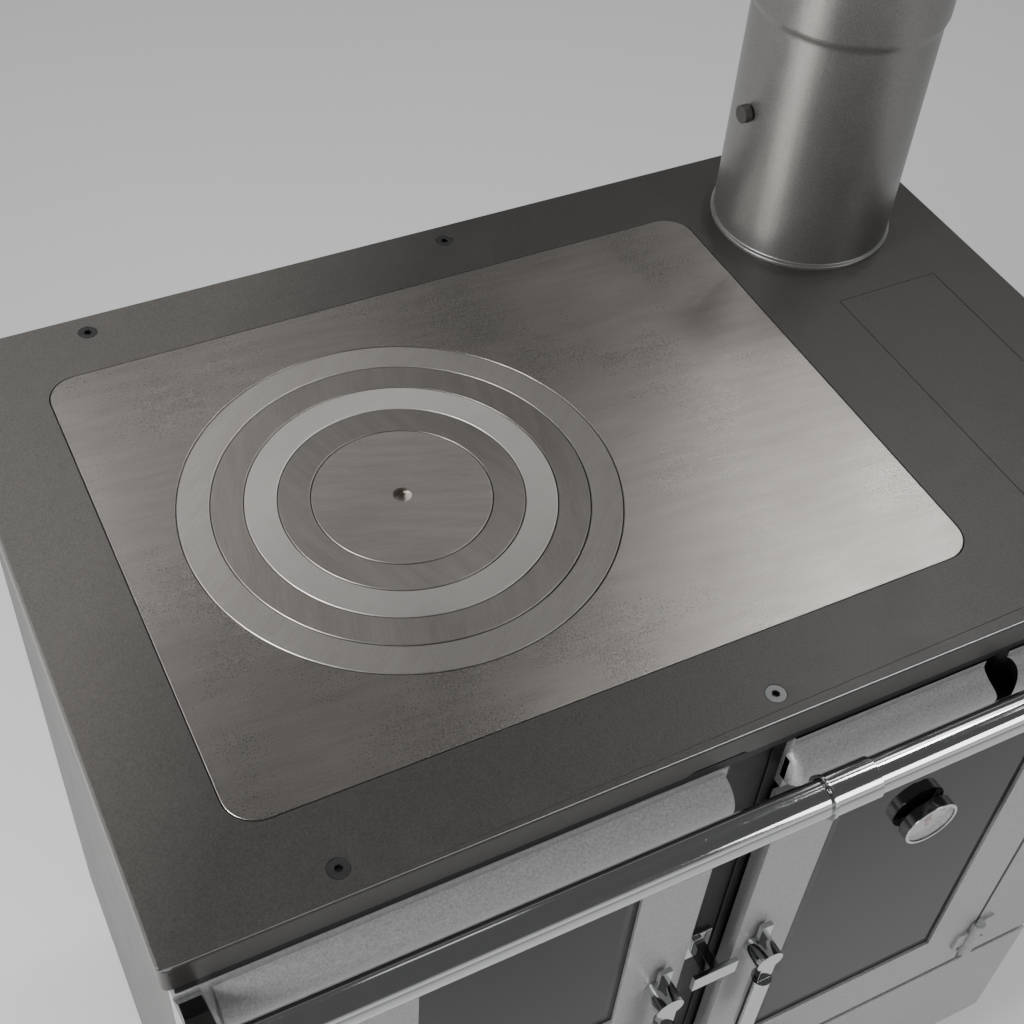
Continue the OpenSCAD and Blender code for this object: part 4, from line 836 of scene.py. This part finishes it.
# %% Floor
bpy.ops.object.select_all(action="DESELECT")
bpy.ops.mesh.primitive_plane_add(size=14, location=(0, 0, 0))
floor = bpy.context.object
floor.name = "studio_floor"
floor_finish = Finish("floor_finish", Roughness=0.75)
floor_own = floor_finish.place()
floor_finish.feed(Base_Color=floor_finish.mix(floor_finish.noise(floor_own, 0.8, 4.0),
                                              grey(0.80), grey(0.84)))
floor.data.materials.append(floor_finish.material)

# %% World
world = bpy.data.worlds.new("soft_room")
scene.world = world
world.use_nodes = True
air = world.node_tree
air.nodes.clear()
coordinates = air.nodes.new("ShaderNodeTexCoord")
split = air.nodes.new("ShaderNodeSeparateXYZ")
height = air.nodes.new("ShaderNodeMapRange")
height.interpolation_type = "SMOOTHSTEP"
seen = air.nodes.new("ShaderNodeBackground")
light = air.nodes.new("ShaderNodeBackground")
path = air.nodes.new("ShaderNodeLightPath")
either = air.nodes.new("ShaderNodeMath")
any_ray = air.nodes.new("ShaderNodeMath")
choose = air.nodes.new("ShaderNodeMixShader")
out = air.nodes.new("ShaderNodeOutputWorld")
either.operation = any_ray.operation = "MAXIMUM"
for socket, value in (("From Min", 0.02), ("From Max", 0.40), ("To Min", 0.88), ("To Max", 0.12)):
    height.inputs[socket].default_value = value
light.inputs["Color"].default_value = grey(1.0)
light.inputs["Strength"].default_value = 0.43
for start, end in ((coordinates.outputs["Generated"], split.inputs[0]),
                   (split.outputs["Z"], height.inputs["Value"]),
                   (height.outputs[0], seen.inputs["Color"]),
                   (path.outputs["Is Camera Ray"], either.inputs[0]),
                   (path.outputs["Is Glossy Ray"], either.inputs[1]),
                   (either.outputs[0], any_ray.inputs[0]),
                   (path.outputs["Is Transmission Ray"], any_ray.inputs[1]),
                   (any_ray.outputs[0], choose.inputs[0]),
                   (light.outputs[0], choose.inputs[1]),
                   (seen.outputs[0], choose.inputs[2]),
                   (choose.outputs[0], out.inputs["Surface"])):
    air.links.new(start, end)
print("world set")

# %% [markdown]
# ## Lamps
#
# Metal shows a lamp where it would mirror it. The camera looks down on the hotplate, so a lamp
# brightens the part of the plate whose mirrored line of sight points at the lamp. A row of small
# panels behind the cooker does that: the right one is the strongest and lights the plate's front
# right, the others fade towards the left. They shine past the pipe, whose shadow would otherwise
# cut through the highlight. Two lamps on the left draw the sheen and the long highlight on the
# pipe, one on the right reaches the bead's end, and the last one, over the photographer's
# shoulder, gives the front its light.

# %% Lamps
def lamp(name, target, azimuth, elevation, distance, size, power):
    """A square lamp that shines on target from a direction given in degrees."""
    flat = math.cos(math.radians(elevation))
    toward = Vector((flat * math.cos(math.radians(azimuth)),
                     flat * math.sin(math.radians(azimuth)), math.sin(math.radians(elevation))))
    bpy.ops.object.light_add(type="AREA", location=Vector(target) + toward * distance)
    made = bpy.context.object
    made.name = name
    made.data.shape = "SQUARE"
    made.data.size = size
    made.data.energy = power
    made.rotation_mode = "QUATERNION"
    made.rotation_quaternion = toward.to_track_quat("Z", "Y")
    return made


TOP = (0.0, 0.0, 0.855)
panels = [lamp(name, TOP, azimuth, elevation, 2.4, 0.36, power)
          for name, azimuth, elevation, power in (("panel_right", 20, 54, 7.6),
                                                  ("panel_low", 30, 44, 1.5),
                                                  ("panel_mid", 40, 44, 1.6),
                                                  ("panel_left", 80, 44, 0.4),
                                                  ("panel_far_left", 105, 44, 1.8))]
lamp("left_lamp", TOP, 150, 30, 2.2, 0.5, 6.0)
lamp("pipe_lamp", (0.25, 0.15, 0.95), 192, 12, 1.8, 0.5, 34.0)
lamp("right_lamp", TOP, 350, 45, 2.5, 0.6, 2.6)
lamp("front_lamp", (0.0, -0.20, 0.70), 306, 26, 3.0, 1.0, 20.0)

past_pipe = bpy.data.collections.new("past_the_pipe")
past_pipe.objects.link(pipe)
past_pipe.collection_objects[0].light_linking.link_state = "EXCLUDE"
for panel in panels:
    panel.light_linking.blocker_collection = past_pipe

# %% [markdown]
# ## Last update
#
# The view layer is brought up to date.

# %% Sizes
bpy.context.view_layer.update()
